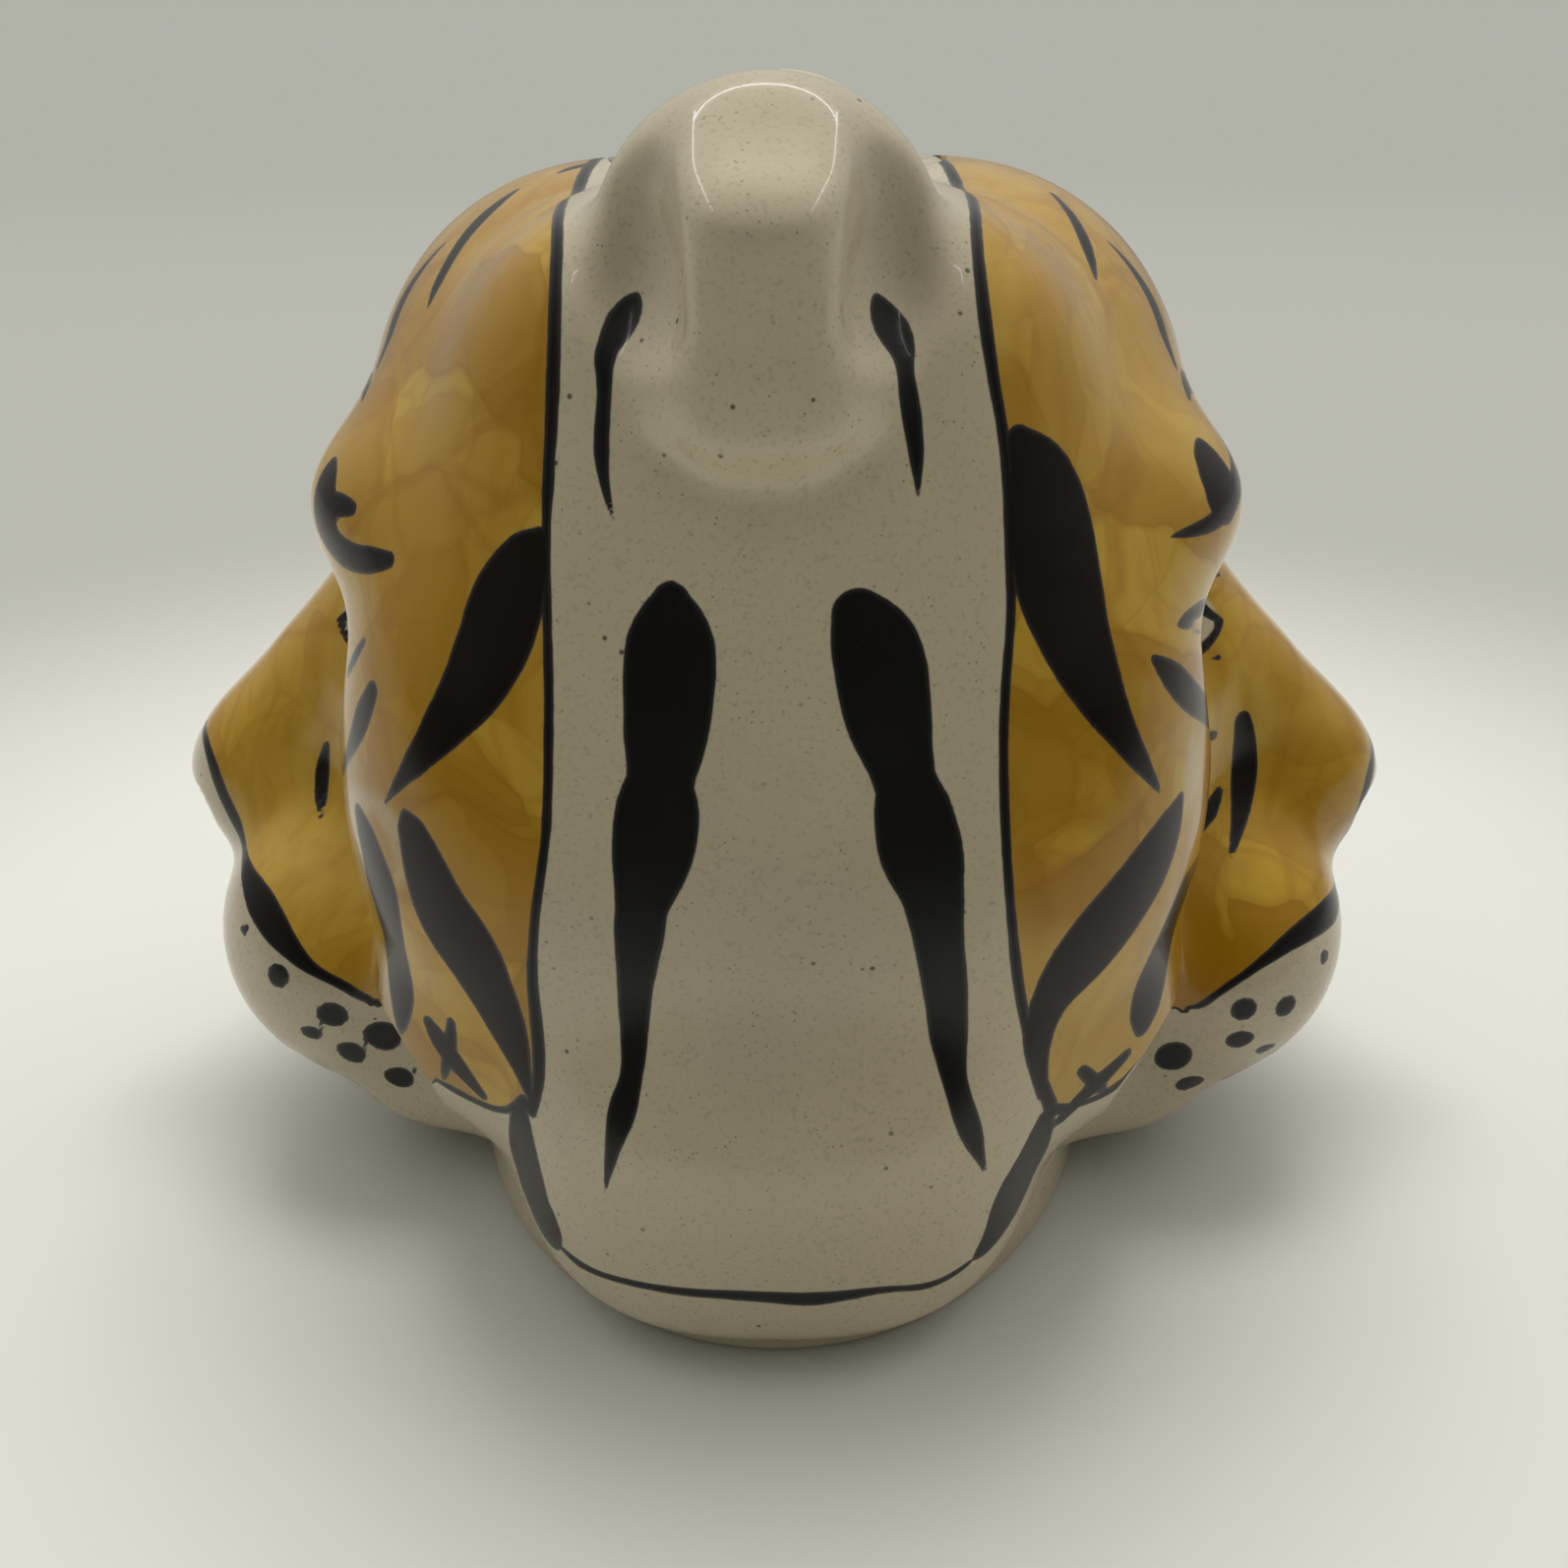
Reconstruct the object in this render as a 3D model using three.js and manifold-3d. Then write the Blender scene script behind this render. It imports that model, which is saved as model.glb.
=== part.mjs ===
// A hand painted vase: two tiger faces, back to back, share one hollow ceramic head.
// The noses point along X, one ear stands on each side along Y, and Z is up, in millimetres.
// The origin is at the middle of the foot, on the table.
// The head is pressed in two moulds that meet on the plane X = 0. The ears, the foot, the floor
// and the rim of the mouth are made apart and joined to it before it is glazed.
import * as THREE from "three";
import { mergeVertices } from "three/addons/utils/BufferGeometryUtils.js";
import Module from "manifold-3d";

const wasm = await Module();
wasm.setup();

// Driving dimensions
const WALL = 5.5; // thickness of the clay wall
const GAP = 0.3; // play between two pieces that touch
const FOOT_HALF_X = 54; // the foot is an oval that follows the head
const FOOT_HALF_Y = 76;
const FOOT_HEIGHT = 11;
const FOOT_WALL = 9;
const FOOT_EDGE = 1.2; // chamfer round the foot
const FLOOR_RISE = 4; // the floor's underside stands this far off the table
const FLOOR_THICK = 6;
const MOUTH_RADIUS = 20; // clear radius of the mouth
const RIM_WALL = 5; // radial thickness of the rim
const RIM_TOP = 158.5;
const RIM_DEPTH = 14; // height of the rim ring
const RIM_ROUND = 2.2; // radius of the rim's upper edges
const HEAD_MIDDLE = 75; // height of the point that the head's surface is first seen from
const EAR_MIDDLE = [0, 62, 148]; // the same for an ear, on the +Y side
const FARTHEST = 150; // no surface is farther than this from its middle
const CLEAR = 400; // edge of the blocks that only cut

// How finely each surface is divided. The head's counts are for a quarter of the way round.
const HEAD_COLUMNS = 20;
const HEAD_ROWS = 50;
const HOLLOW_COLUMNS = 9;
const HOLLOW_ROWS = 22;
const EAR_AROUND = 32;
const EAR_DOWN = 24;
const RING_SIDES = 64;

// How the head's grid is fitted to its forms
const ROUND_BODY = [62, 80, 80]; // the ellipsoid that the first rays aim at
const FORWARD = 10; // towards a face, the rays start this far out
const LIFT = 12; // and this far up
const SOFTEST = 1.6; // the first forms have every blend this many times wider
const STAGES = 6; // steps from the softest forms to the true ones
const ROUNDS = 6; // times that the grid is evened out at each step
const EVENING = 0.6; // share of the way that a point moves towards its neighbours' mean
const LONGEST_MOVE = 1.6; // a point settles on the surface in moves of at most this

// Glaze colours
const OCHRE = 0xc99a2e;
const CREAM = 0xcfc7b0;
const PALE = 0xd6cfba;
const BISQUE = 0xbdb29a;

// The clay masses of the head. Each is a rounded lump with a middle, a reach along X, Y and Z,
// a roundness (2 is an ellipsoid, more is boxier) seen from above and from the side, a slope
// about Y and a lean about X in degrees, and the blend with which it melts into the others.
const SKULL = { middle: [0, 0, 80], reach: [60, 79, 78], plan: 2.5, side: 2.9 };
const NECK = { middle: [0, 0, 24], reach: [49, 70, 22], plan: 2.2, side: 4, blend: 14 };
const CHEEK = { middle: [37, 42, 76], reach: [21, 25, 36], blend: 24 };
const LOBE = { middle: [0, 48, 25], reach: [35, 34.5, 24], plan: 2.6, side: 4, blend: 20 };
const FOREHEAD = { middle: [31, 0, 121], reach: [30, 40, 33.5], blend: 14 };
const BROW = { middle: [45, 30, 115], reach: [20, 20, 13], blend: 12 };
const SHOULDER = {
  middle: [0, 46, 132.5], reach: [37, 25.5, 26.5], plan: 2.4, side: 2.5, blend: 12,
};
const BRIDGE = {
  middle: [64.5, 0, 73], reach: [38, 19, 22], plan: 2.4, side: 2.4, slope: 45, blend: 20,
};
const CHIN = { middle: [49, 0, 18], reach: [30, 44, 17], plan: 2.6, side: 2.4, blend: 12 };
const LIP_PAD = { middle: [71.5, 17, 41], reach: [21.5, 21, 20], blend: 12 };
const NOSE = { middle: [88, 0, 62.5], reach: [13.5, 13, 10.5], slope: 20, blend: 10 };
const EYE_HOLLOW = { middle: [67, 29, 93], reach: [13, 14, 9], slope: 10, blend: 12 };
const EAR_HOLLOW = { middle: [15.5, 75, 155], reach: [7, 13, 11], blend: 8 };

// The clay masses of one ear: a bell that fans out over the shoulder, a thick upright fold down
// its front with a flat cap that tilts outwards, and the fold's foot, where it spreads on the
// side of the head. The ear's hollow is pressed into the bell and the shoulder alike, once on
// each side of the fold.
const BELL = { middle: [0, 57, 151], reach: [20.5, 14, 19.3] };
const FOLD = {
  middle: [0, 69.5, 142.5], reach: [8.8, 10.5, 20.5], plan: 3, side: 3, lean: 6, blend: 6,
};
const CAP = {
  middle: [0, 67.5, 160], reach: [8.4, 10.5, 5.2], plan: 2.3, side: 3.4, lean: 27, blend: 3.5,
};
const FOLD_FOOT = { middle: [0, 62, 125], reach: [18, 15, 18], blend: 8 };

// Distance from a lump's surface, measured along the line from its middle: negative inside.
function fromLump(lump, x, y, z) {
  const { middle, reach, plan = 2, side = 2, slope = 0, lean = 0 } = lump;
  const turn = THREE.MathUtils.degToRad(slope);
  const tip = THREE.MathUtils.degToRad(lean);
  const dx = x - middle[0];
  const dy = y - middle[1];
  const dz = z - middle[2];
  const along = dx * Math.cos(turn) - dz * Math.sin(turn);
  const upright = dx * Math.sin(turn) + dz * Math.cos(turn);
  const aside = dy * Math.cos(tip) - upright * Math.sin(tip);
  const up = dy * Math.sin(tip) + upright * Math.cos(tip);
  const flat =
    (Math.abs(along) / reach[0]) ** plan + (Math.abs(aside) / reach[1]) ** plan;
  const scale =
    (flat ** (side / plan) + (Math.abs(up) / reach[2]) ** side) ** (1 / side);
  return Math.hypot(dx, dy, dz) * (1 - 1 / Math.max(scale, 1e-6));
}

// The smaller of two distances, with the corner between them rounded over the blend.
function melt(a, b, blend) {
  const overlap = Math.max(blend - Math.abs(a - b), 0) / blend;
  return Math.min(a, b) - (overlap * overlap * blend) / 4;
}

const press = (a, hollow, blend) => -melt(-a, hollow, blend);

// The head's surface is where this is 0. Both faces and both sides of a face are alike.
// A soft above 1 widens every blend, so that the forms run into each other more.
function headField(x, y, z, soft = 1) {
  const at = (lump) => fromLump(lump, Math.abs(x), Math.abs(y), z);
  let d = at(SKULL);
  for (const lump of [NECK, CHEEK, LOBE, FOREHEAD, BROW, SHOULDER])
    d = melt(d, at(lump), lump.blend * soft);
  for (const lump of [EYE_HOLLOW, EAR_HOLLOW]) d = press(d, at(lump), lump.blend * soft);
  for (const lump of [BRIDGE, CHIN, LIP_PAD, NOSE])
    d = melt(d, at(lump), lump.blend * soft);
  return d;
}

function earField(x, y, z) {
  const at = (lump) => fromLump(lump, Math.abs(x), Math.abs(y), z);
  let d = press(at(BELL), at(EAR_HOLLOW), EAR_HOLLOW.blend);
  for (const lump of [FOLD, CAP, FOLD_FOOT]) d = melt(d, at(lump), lump.blend);
  return d;
}

// How far a surface lies from a start along a direction: the outermost place where the field
// falls below the level, found by stepping inwards and then halving.
function reachOf(field, level, start, direction) {
  const p = new THREE.Vector3();
  const inside = (r) => {
    p.copy(start).addScaledVector(direction, r);
    return field(p.x, p.y, p.z) < level;
  };
  const step = 1.5;
  let r = FARTHEST;
  while (r > step && !inside(r)) r -= step;
  let low = r;
  let high = r + step;
  for (let i = 0; i < 12; i++) {
    const half = (low + high) / 2;
    if (inside(half)) low = half;
    else high = half;
  }
  return low;
}

// Moves a point on to the field's level along the field's gradient, in two short moves.
function settle(field, level, p) {
  const e = 0.2;
  const slope = new THREE.Vector3();
  for (let i = 0; i < 2; i++) {
    slope.set(
      field(p.x + e, p.y, p.z) - field(p.x - e, p.y, p.z),
      field(p.x, p.y + e, p.z) - field(p.x, p.y - e, p.z),
      field(p.x, p.y, p.z + e) - field(p.x, p.y, p.z - e),
    );
    slope.divideScalar(2 * e);
    slope.multiplyScalar((field(p.x, p.y, p.z) - level) / Math.max(slope.lengthSq(), 1e-4));
    p.sub(slope.clampLength(0, LONGEST_MOVE));
  }
}

// A quarter of the head's surface as a grid of points, column by column from the seam, where X
// is 0, to the middle of a face, where Y is 0, and down each column from the top to the bottom.
// Rays find it on soft forms first. Then the forms sharpen in stages, and at each stage the grid
// is evened out and settled again, so that its lines run smoothly even into the creases.
function quarterGrid(level, columns, rows) {
  const grid = [];
  const soft = (x, y, z) => headField(x, y, z, SOFTEST);
  for (let i = 0; i <= columns; i++) {
    const turn = (Math.PI / 2) * (1 - i / columns);
    grid.push([]);
    for (let j = 0; j <= rows; j++) {
      const down = (Math.PI * j) / rows;
      const ahead = Math.cos(turn) * Math.sin(down);
      const aside = Math.sin(turn) * Math.sin(down);
      const start = new THREE.Vector3(FORWARD * ahead ** 2, 0, LIFT * ahead ** 2);
      const aim = new THREE.Vector3(
        ROUND_BODY[0] * ahead,
        ROUND_BODY[1] * aside,
        ROUND_BODY[2] * Math.cos(down),
      );
      const direction = aim.sub(start).normalize();
      start.z += HEAD_MIDDLE;
      const r = reachOf(soft, level, start, direction);
      grid[i].push(start.addScaledVector(direction, r));
    }
  }
  for (let stage = 1; stage <= STAGES; stage++) {
    const softness = 1 + (SOFTEST - 1) * (1 - stage / STAGES);
    const field = (x, y, z) => headField(x, y, z, softness);
    for (let round = 0; round < ROUNDS; round++) {
      evenOut(grid, columns, rows);
      for (const column of grid) for (const p of column) settle(field, level, p);
      keepOnPlanes(grid, columns, rows);
    }
  }
  return grid;
}

// Each point moves towards the mean of its neighbours. Beyond the seam and beyond the middle of
// the face the grid is mirrored, so there a point only moves up or down its own column.
function evenOut(grid, columns, rows) {
  const before = grid.map((column) => column.map((p) => p.clone()));
  for (let i = 0; i <= columns; i++)
    for (let j = 1; j < rows; j++) {
      const beside =
        i === 0 || i === columns ? [] : [before[i - 1][j], before[i + 1][j]];
      const near = [before[i][j - 1], before[i][j + 1], ...beside];
      const mean = new THREE.Vector3();
      for (const p of near) mean.addScaledVector(p, 1 / near.length);
      grid[i][j].lerp(mean, EVENING);
    }
}

function keepOnPlanes(grid, columns, rows) {
  for (let j = 0; j <= rows; j++) {
    grid[0][j].x = 0;
    grid[columns][j].y = 0;
  }
  for (const column of grid) {
    column[0].set(0, 0, column[0].z);
    column[rows].set(0, 0, column[rows].z);
  }
}

// A closed sphere with its poles on Z whose vertices are moved by the given function.
function ballOf(around, down, place) {
  const ball = new THREE.SphereGeometry(1, around, down).rotateX(Math.PI / 2);
  ball.deleteAttribute("normal");
  ball.deleteAttribute("uv");
  const geometry = mergeVertices(ball, 1e-5);
  const position = geometry.getAttribute("position");
  const direction = new THREE.Vector3();
  for (let i = 0; i < position.count; i++) {
    direction.fromBufferAttribute(position, i).normalize();
    const p = place(direction);
    position.setXYZ(i, p.x, p.y, p.z);
  }
  return geometry;
}

// The whole head's skin at a level of its field: the quarter grid and its three mirror images.
function headSkin(level, columns, rows) {
  const grid = quarterGrid(level, columns, rows);
  return ballOf(4 * columns, rows, (direction) => {
    const turn = Math.atan2(Math.abs(direction.y), Math.abs(direction.x));
    const down = Math.acos(THREE.MathUtils.clamp(direction.z, -1, 1));
    const i = Math.round((1 - turn / (Math.PI / 2)) * columns);
    const j = Math.round((down / Math.PI) * rows);
    const p = grid[i][j].clone();
    p.x *= Math.sign(direction.x);
    p.y *= Math.sign(direction.y);
    return p;
  });
}

// An ear's skin, seen from its middle in every direction.
function earSkin() {
  const middle = new THREE.Vector3(...EAR_MIDDLE);
  return ballOf(EAR_AROUND, EAR_DOWN, (direction) => {
    const r = reachOf(earField, 0, middle, direction);
    return direction.clone().multiplyScalar(r).add(middle);
  });
}

// Joining and cutting
function solidOf(geometry) {
  const bare = geometry.clone();
  bare.deleteAttribute("normal");
  bare.deleteAttribute("uv");
  const merged = mergeVertices(bare, 1e-4);
  return new wasm.Manifold(
    new wasm.Mesh({
      numProp: 3,
      vertProperties: new Float32Array(merged.attributes.position.array),
      triVerts: new Uint32Array(merged.index.array),
    }),
  );
}

function geometryOf(solid) {
  const mesh = solid.getMesh();
  const place = new Float32Array(mesh.numVert * 3);
  for (let i = 0; i < mesh.numVert; i++)
    place.set(mesh.vertProperties.subarray(i * mesh.numProp, i * mesh.numProp + 3), i * 3);
  const geometry = new THREE.BufferGeometry()
    .setAttribute("position", new THREE.BufferAttribute(place, 3))
    .setIndex(new THREE.BufferAttribute(mesh.triVerts, 1))
    .toNonIndexed();
  geometry.computeVertexNormals();
  return geometry;
}

const blockOf = (x0, x1, y0, y1, z0, z1) =>
  new THREE.BoxGeometry(x1 - x0, y1 - y0, z1 - z0)
    .translate((x0 + x1) / 2, (y0 + y1) / 2, (z0 + z1) / 2);

const postOf = (halfX, halfY, z0, z1) =>
  new THREE.CylinderGeometry(1, 1, z1 - z0, RING_SIDES)
    .rotateX(Math.PI / 2)
    .scale(halfX, halfY, 1)
    .translate(0, 0, (z0 + z1) / 2);

// A ring turned from a closed profile of [radius, height] points, with its axis on Z.
const turned = (profile) =>
  new THREE.LatheGeometry(
    [...profile, profile[0]].map(([r, z]) => new THREE.Vector2(r, z)),
    RING_SIDES,
  ).rotateX(Math.PI / 2);

// The foot: a low oval wall. It is turned as a round ring of the X radius and then stretched,
// so its wall is a little thicker at the sides than at the faces.
function footRing() {
  const inner = FOOT_HALF_X - FOOT_WALL;
  const ring = turned([
    [inner, 0],
    [FOOT_HALF_X - FOOT_EDGE, 0],
    [FOOT_HALF_X, FOOT_EDGE],
    [FOOT_HALF_X, FOOT_HEIGHT],
    [inner, FOOT_HEIGHT],
  ]);
  return ring.scale(1, FOOT_HALF_Y / FOOT_HALF_X, 1);
}

// The floor of the vase: an oval slab inside the foot, clear of the table.
function floorSlab() {
  const halfX = FOOT_HALF_X - FOOT_WALL - GAP;
  const halfY = (FOOT_HALF_X - FOOT_WALL) * (FOOT_HALF_Y / FOOT_HALF_X) - GAP;
  return postOf(halfX, halfY, FLOOR_RISE, FLOOR_RISE + FLOOR_THICK);
}

// The rim of the mouth: a ring with two rounded upper edges.
function mouthRim() {
  const inner = MOUTH_RADIUS;
  const outer = MOUTH_RADIUS + RIM_WALL;
  const bend = [0, 0.25, 0.5, 0.75, 1].map((t) => (t * Math.PI) / 2);
  const shoulder = RIM_TOP - RIM_ROUND;
  return turned([
    [inner, RIM_TOP - RIM_DEPTH],
    [outer, RIM_TOP - RIM_DEPTH],
    ...bend.map((a) => [
      outer - RIM_ROUND + RIM_ROUND * Math.cos(a),
      shoulder + RIM_ROUND * Math.sin(a),
    ]),
    ...bend.map((a) => [
      inner + RIM_ROUND - RIM_ROUND * Math.sin(a),
      shoulder + RIM_ROUND * Math.cos(a),
    ]),
  ]);
}

// The whole head before it is parted: outer skin, hollow, mouth hole and flat underside.
function headShell() {
  const outside = headSkin(0, HEAD_COLUMNS, HEAD_ROWS);
  const hollow = headSkin(-WALL, HOLLOW_COLUMNS, HOLLOW_ROWS);
  const holeX = FOOT_HALF_X - FOOT_WALL;
  const holeY = holeX * (FOOT_HALF_Y / FOOT_HALF_X);
  const mouth = MOUTH_RADIUS + RIM_WALL + GAP;
  return solidOf(outside)
    .subtract(solidOf(hollow))
    .subtract(solidOf(postOf(mouth, mouth, HEAD_MIDDLE, CLEAR)))
    .subtract(solidOf(postOf(holeX, holeY, -CLEAR, 2 * FOOT_HEIGHT)))
    .subtract(
      solidOf(postOf(FOOT_HALF_X + GAP, FOOT_HALF_Y + GAP, -CLEAR, FOOT_HEIGHT + GAP)),
    );
}

// Half of the head, on the side of X that the sign gives.
function faceShell(head, sign) {
  const near = sign > 0 ? GAP / 2 : -CLEAR;
  const far = sign > 0 ? CLEAR : -GAP / 2;
  return head.intersect(solidOf(blockOf(near, far, -CLEAR, CLEAR, -CLEAR, CLEAR)));
}

// An ear on the +Y side, cut to sit on the head. The cut may leave chips, so the largest is kept.
function earSolid() {
  const seat = headSkin(GAP, HEAD_COLUMNS, HEAD_ROWS);
  const pieces = solidOf(earSkin()).subtract(solidOf(seat)).decompose();
  return pieces.reduce((a, b) => (b.volume() > a.volume() ? b : a));
}

const glaze = (color, roughness) =>
  new THREE.MeshStandardMaterial({ color, roughness, metalness: 0 });

const vase = new THREE.Group();

function add(name, geometry, material) {
  const mesh = new THREE.Mesh(geometry, material);
  mesh.name = name;
  vase.add(mesh);
  return mesh;
}

const head = headShell();
add("face_shell_left", geometryOf(faceShell(head, -1)), glaze(OCHRE, 0.22));
add("face_shell_right", geometryOf(faceShell(head, 1)), glaze(OCHRE, 0.22));

const ear = geometryOf(earSolid());
add("ear_far", ear, glaze(CREAM, 0.2));
add("ear_near", ear.clone(), glaze(CREAM, 0.2)).rotation.z = Math.PI;

add("mouth_rim", mouthRim(), glaze(PALE, 0.2));
add("foot_ring", footRing(), glaze(CREAM, 0.25));
add("floor_slab", floorSlab(), glaze(BISQUE, 0.6));

export default vase;
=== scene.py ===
# %% [markdown]
# A hand painted vase: two tiger faces, back to back, share one glazed head.
# The CAD model gives the pieces at their real size: two pressed half shells, two ears, a rim,
# an oval foot and a floor. This lesson makes their fine surfaces, paints them with a brush made of
# distances, and glazes them.
# Shapes here are functions of two parameters on a numpy grid, so each one is an array formula.

# %% Load the imported model and bake each part's place into its mesh
import math

import bpy
import numpy as np
from mathutils import Matrix, Vector


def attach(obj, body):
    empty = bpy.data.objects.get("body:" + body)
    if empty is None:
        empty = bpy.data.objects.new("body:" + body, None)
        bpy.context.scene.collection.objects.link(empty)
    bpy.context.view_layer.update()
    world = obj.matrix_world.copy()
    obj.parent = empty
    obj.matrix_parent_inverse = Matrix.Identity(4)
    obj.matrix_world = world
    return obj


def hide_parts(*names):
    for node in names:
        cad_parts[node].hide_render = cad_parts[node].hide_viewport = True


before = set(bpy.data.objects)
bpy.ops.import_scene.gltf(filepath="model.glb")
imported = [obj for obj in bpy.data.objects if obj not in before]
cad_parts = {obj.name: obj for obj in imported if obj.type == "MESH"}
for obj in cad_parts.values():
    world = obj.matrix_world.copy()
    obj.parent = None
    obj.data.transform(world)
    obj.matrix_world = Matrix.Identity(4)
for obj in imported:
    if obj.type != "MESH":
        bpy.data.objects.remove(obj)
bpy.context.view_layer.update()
MM = 0.001  # shapes are worked out in millimetres and stored in metres

# %% [markdown]
# The head of the real vase was pressed as clay in a mould, so every form on it is a rounded mass
# that melts into its neighbours. One could push a mesh about with a sculpting brush, but masses
# written as numbers are exact and can be shared with the CAD model.
# Each lump is a rounded box given by its middle, its reach, its roundness and its blend.
# The values are those of the CAD model, but for the chin and the ears, which follow the
# photograph a little closer here.

# %% The clay masses of the head, in millimetres
SKULL = dict(middle=(0, 0, 80), reach=(60, 79, 78), plan=2.5, side=2.9)
NECK = dict(middle=(0, 0, 24), reach=(49, 70, 22), plan=2.2, side=4, blend=14)
CHEEK = dict(middle=(37, 42, 76), reach=(21, 25, 36), blend=24)
LOBE = dict(middle=(0, 48, 25), reach=(35, 34.5, 24), plan=2.6, side=4, blend=20)
FOREHEAD = dict(middle=(31, 0, 121), reach=(30, 40, 33.5), blend=14)
BROW = dict(middle=(45, 30, 115), reach=(20, 20, 13), blend=12)
SHOULDER = dict(middle=(0, 46, 132.5), reach=(37, 25.5, 26.5), plan=2.4, side=2.5, blend=12)
BRIDGE = dict(middle=(64.5, 0, 73), reach=(38, 19, 22), plan=2.4, side=2.4, slope=45, blend=20)
CHIN = dict(middle=(49, 0, 18), reach=(29.5, 39.5, 17), plan=2.4, side=2.4, blend=12)
LIP_PAD = dict(middle=(71.5, 17, 41), reach=(21.5, 21, 20), blend=12)
NOSE = dict(middle=(88, 0, 62.5), reach=(13.5, 13, 10.5), slope=20, blend=10)
EYE_HOLLOW = dict(middle=(67, 29, 93), reach=(13, 14, 9), slope=10, blend=12)
EAR_HOLLOW = dict(middle=(15.6, 76, 154), reach=(6.6, 13.5, 12.5), lean=-8, blend=5)

# The masses of one ear: a bell that fans out over the shoulder, a thick upright fold down its
# front with a flat cap that tilts outwards, and the fold's foot on the side of the head.
BELL = dict(middle=(0, 57, 151), reach=(20.5, 14, 19.3))
FOLD = dict(middle=(0, 69.5, 144), reach=(8.9, 10.6, 16), plan=3.6, side=3, lean=8, blend=3.5)
CAP = dict(middle=(0, 68.6, 158.9), reach=(9.4, 13, 5.2), plan=2.2, side=3.6, lean=33, blend=4)
FOLD_FOOT = dict(middle=(0, 65.5, 136.5), reach=(15.5, 12, 7), plan=2.6, side=2.4, blend=7)

# Small forms that only the finished surface has. The muzzle fills the lower half of a lip pad,
# and the jowl rounds out the low end of a cheek.
MUZZLE = dict(middle=(68, 24, 35), reach=(20.3, 17.5, 18.3), blend=8)
JOWL = dict(middle=(36, 46.5, 43.5), reach=(22.6, 19, 21), blend=7)
JOWL_WIDER = 1.3  # by which the jowls of the right face stand farther out
EYEBALL = dict(middle=(52, 27.5, 95), reach=(9, 11, 8), blend=2)
UPPER_LID = dict(middle=(54, 27.5, 101), reach=(9.5, 14, 4.5), blend=3)
LOWER_LID = dict(middle=(54, 27, 88), reach=(9, 13, 4), blend=3)
NOSTRIL = dict(middle=(99, 7, 56.5), reach=(4, 3, 2.6), blend=3)

WALL = 5.5
HEAD_MIDDLE = 75.0  # the height from which the head's rays start
FOOT_HALF = (54.0, 76.0)  # the foot's oval reaches so far along X and along Y
FOOT_HEIGHT = 11.0
FOOT_WALL = 9.0
MOUTH_RADIUS = 20.0
RIM_WALL = 5.0
RIM_TOP = 158.5


# %% Distance from a lump, and how lumps melt together
def from_lump(lump, x, y, z):
    """Distance from a super-ellipsoid along the line from its middle: |q| (1 - 1 / scale)."""
    turn = math.radians(lump.get("slope", 0))
    tip = math.radians(lump.get("lean", 0))
    plan = lump.get("plan", 2)
    side = lump.get("side", 2)
    mx, my, mz = lump["middle"]
    rx, ry, rz = lump["reach"]
    dx, dy, dz = x - mx, y - my, z - mz
    along = dx * math.cos(turn) - dz * math.sin(turn)
    upright = dx * math.sin(turn) + dz * math.cos(turn)
    aside = dy * math.cos(tip) - upright * math.sin(tip)
    up = dy * math.sin(tip) + upright * math.cos(tip)
    if plan == 2 and side == 2:
        scale = np.sqrt((along / rx) ** 2 + (aside / ry) ** 2 + (up / rz) ** 2)
    else:
        flat = np.abs(along / rx) ** plan + np.abs(aside / ry) ** plan
        scale = (flat ** (side / plan) + np.abs(up / rz) ** side) ** (1 / side)
    return np.sqrt(dx**2 + dy**2 + dz**2) * (1 - 1 / np.maximum(scale, 1e-6))


def melt(a, b, blend):
    """The smaller distance, with the corner between the two rounded over the blend."""
    overlap = np.maximum(blend - np.abs(a - b), 0) / blend
    return np.minimum(a, b) - overlap**2 * blend / 4


def press(a, hollow, blend):
    """The part of a outside the hollow, with the same rounding."""
    return -melt(-a, hollow, blend)


def at_points(field, p):
    """The field's values at points whose last axis holds X, Y and Z."""
    return field(p[..., 0], p[..., 1], p[..., 2])


def head_field(x, y, z, soft=1.0, fine=False):
    """Zero on the head's surface, negative inside. A soft above 1 widens every blend."""
    ax, ay = np.abs(x), np.abs(y)
    d = from_lump(SKULL, ax, ay, z)
    for lump in (NECK, CHEEK, LOBE, FOREHEAD, BROW, SHOULDER):
        d = melt(d, from_lump(lump, ax, ay, z), lump["blend"] * soft)
    for lump in (EYE_HOLLOW, EAR_HOLLOW):
        d = press(d, from_lump(lump, ax, ay, z), lump["blend"] * soft)
    for lump in (BRIDGE, CHIN, LIP_PAD, NOSE):
        d = melt(d, from_lump(lump, ax, ay, z), lump["blend"] * soft)
    if fine:
        wider = np.where(x > 0, ax - JOWL_WIDER, ax)
        d = melt(d, from_lump(JOWL, wider, ay, z), JOWL["blend"])
        for lump in (MUZZLE, UPPER_LID, LOWER_LID, EYEBALL):
            d = melt(d, from_lump(lump, ax, ay, z), lump["blend"])
        d = press(d, from_lump(NOSTRIL, ax, ay, z), NOSTRIL["blend"])
    return d


def ear_field(x, y, z):
    """Zero on the surface of the two ears, which are alike."""
    ax, ay = np.abs(x), np.abs(y)
    d = press(from_lump(BELL, ax, ay, z), from_lump(EAR_HOLLOW, ax, ay, z), EAR_HOLLOW["blend"])
    for lump in (FOLD, CAP, FOLD_FOOT):
        d = melt(d, from_lump(lump, ax, ay, z), lump["blend"])
    return d


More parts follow.
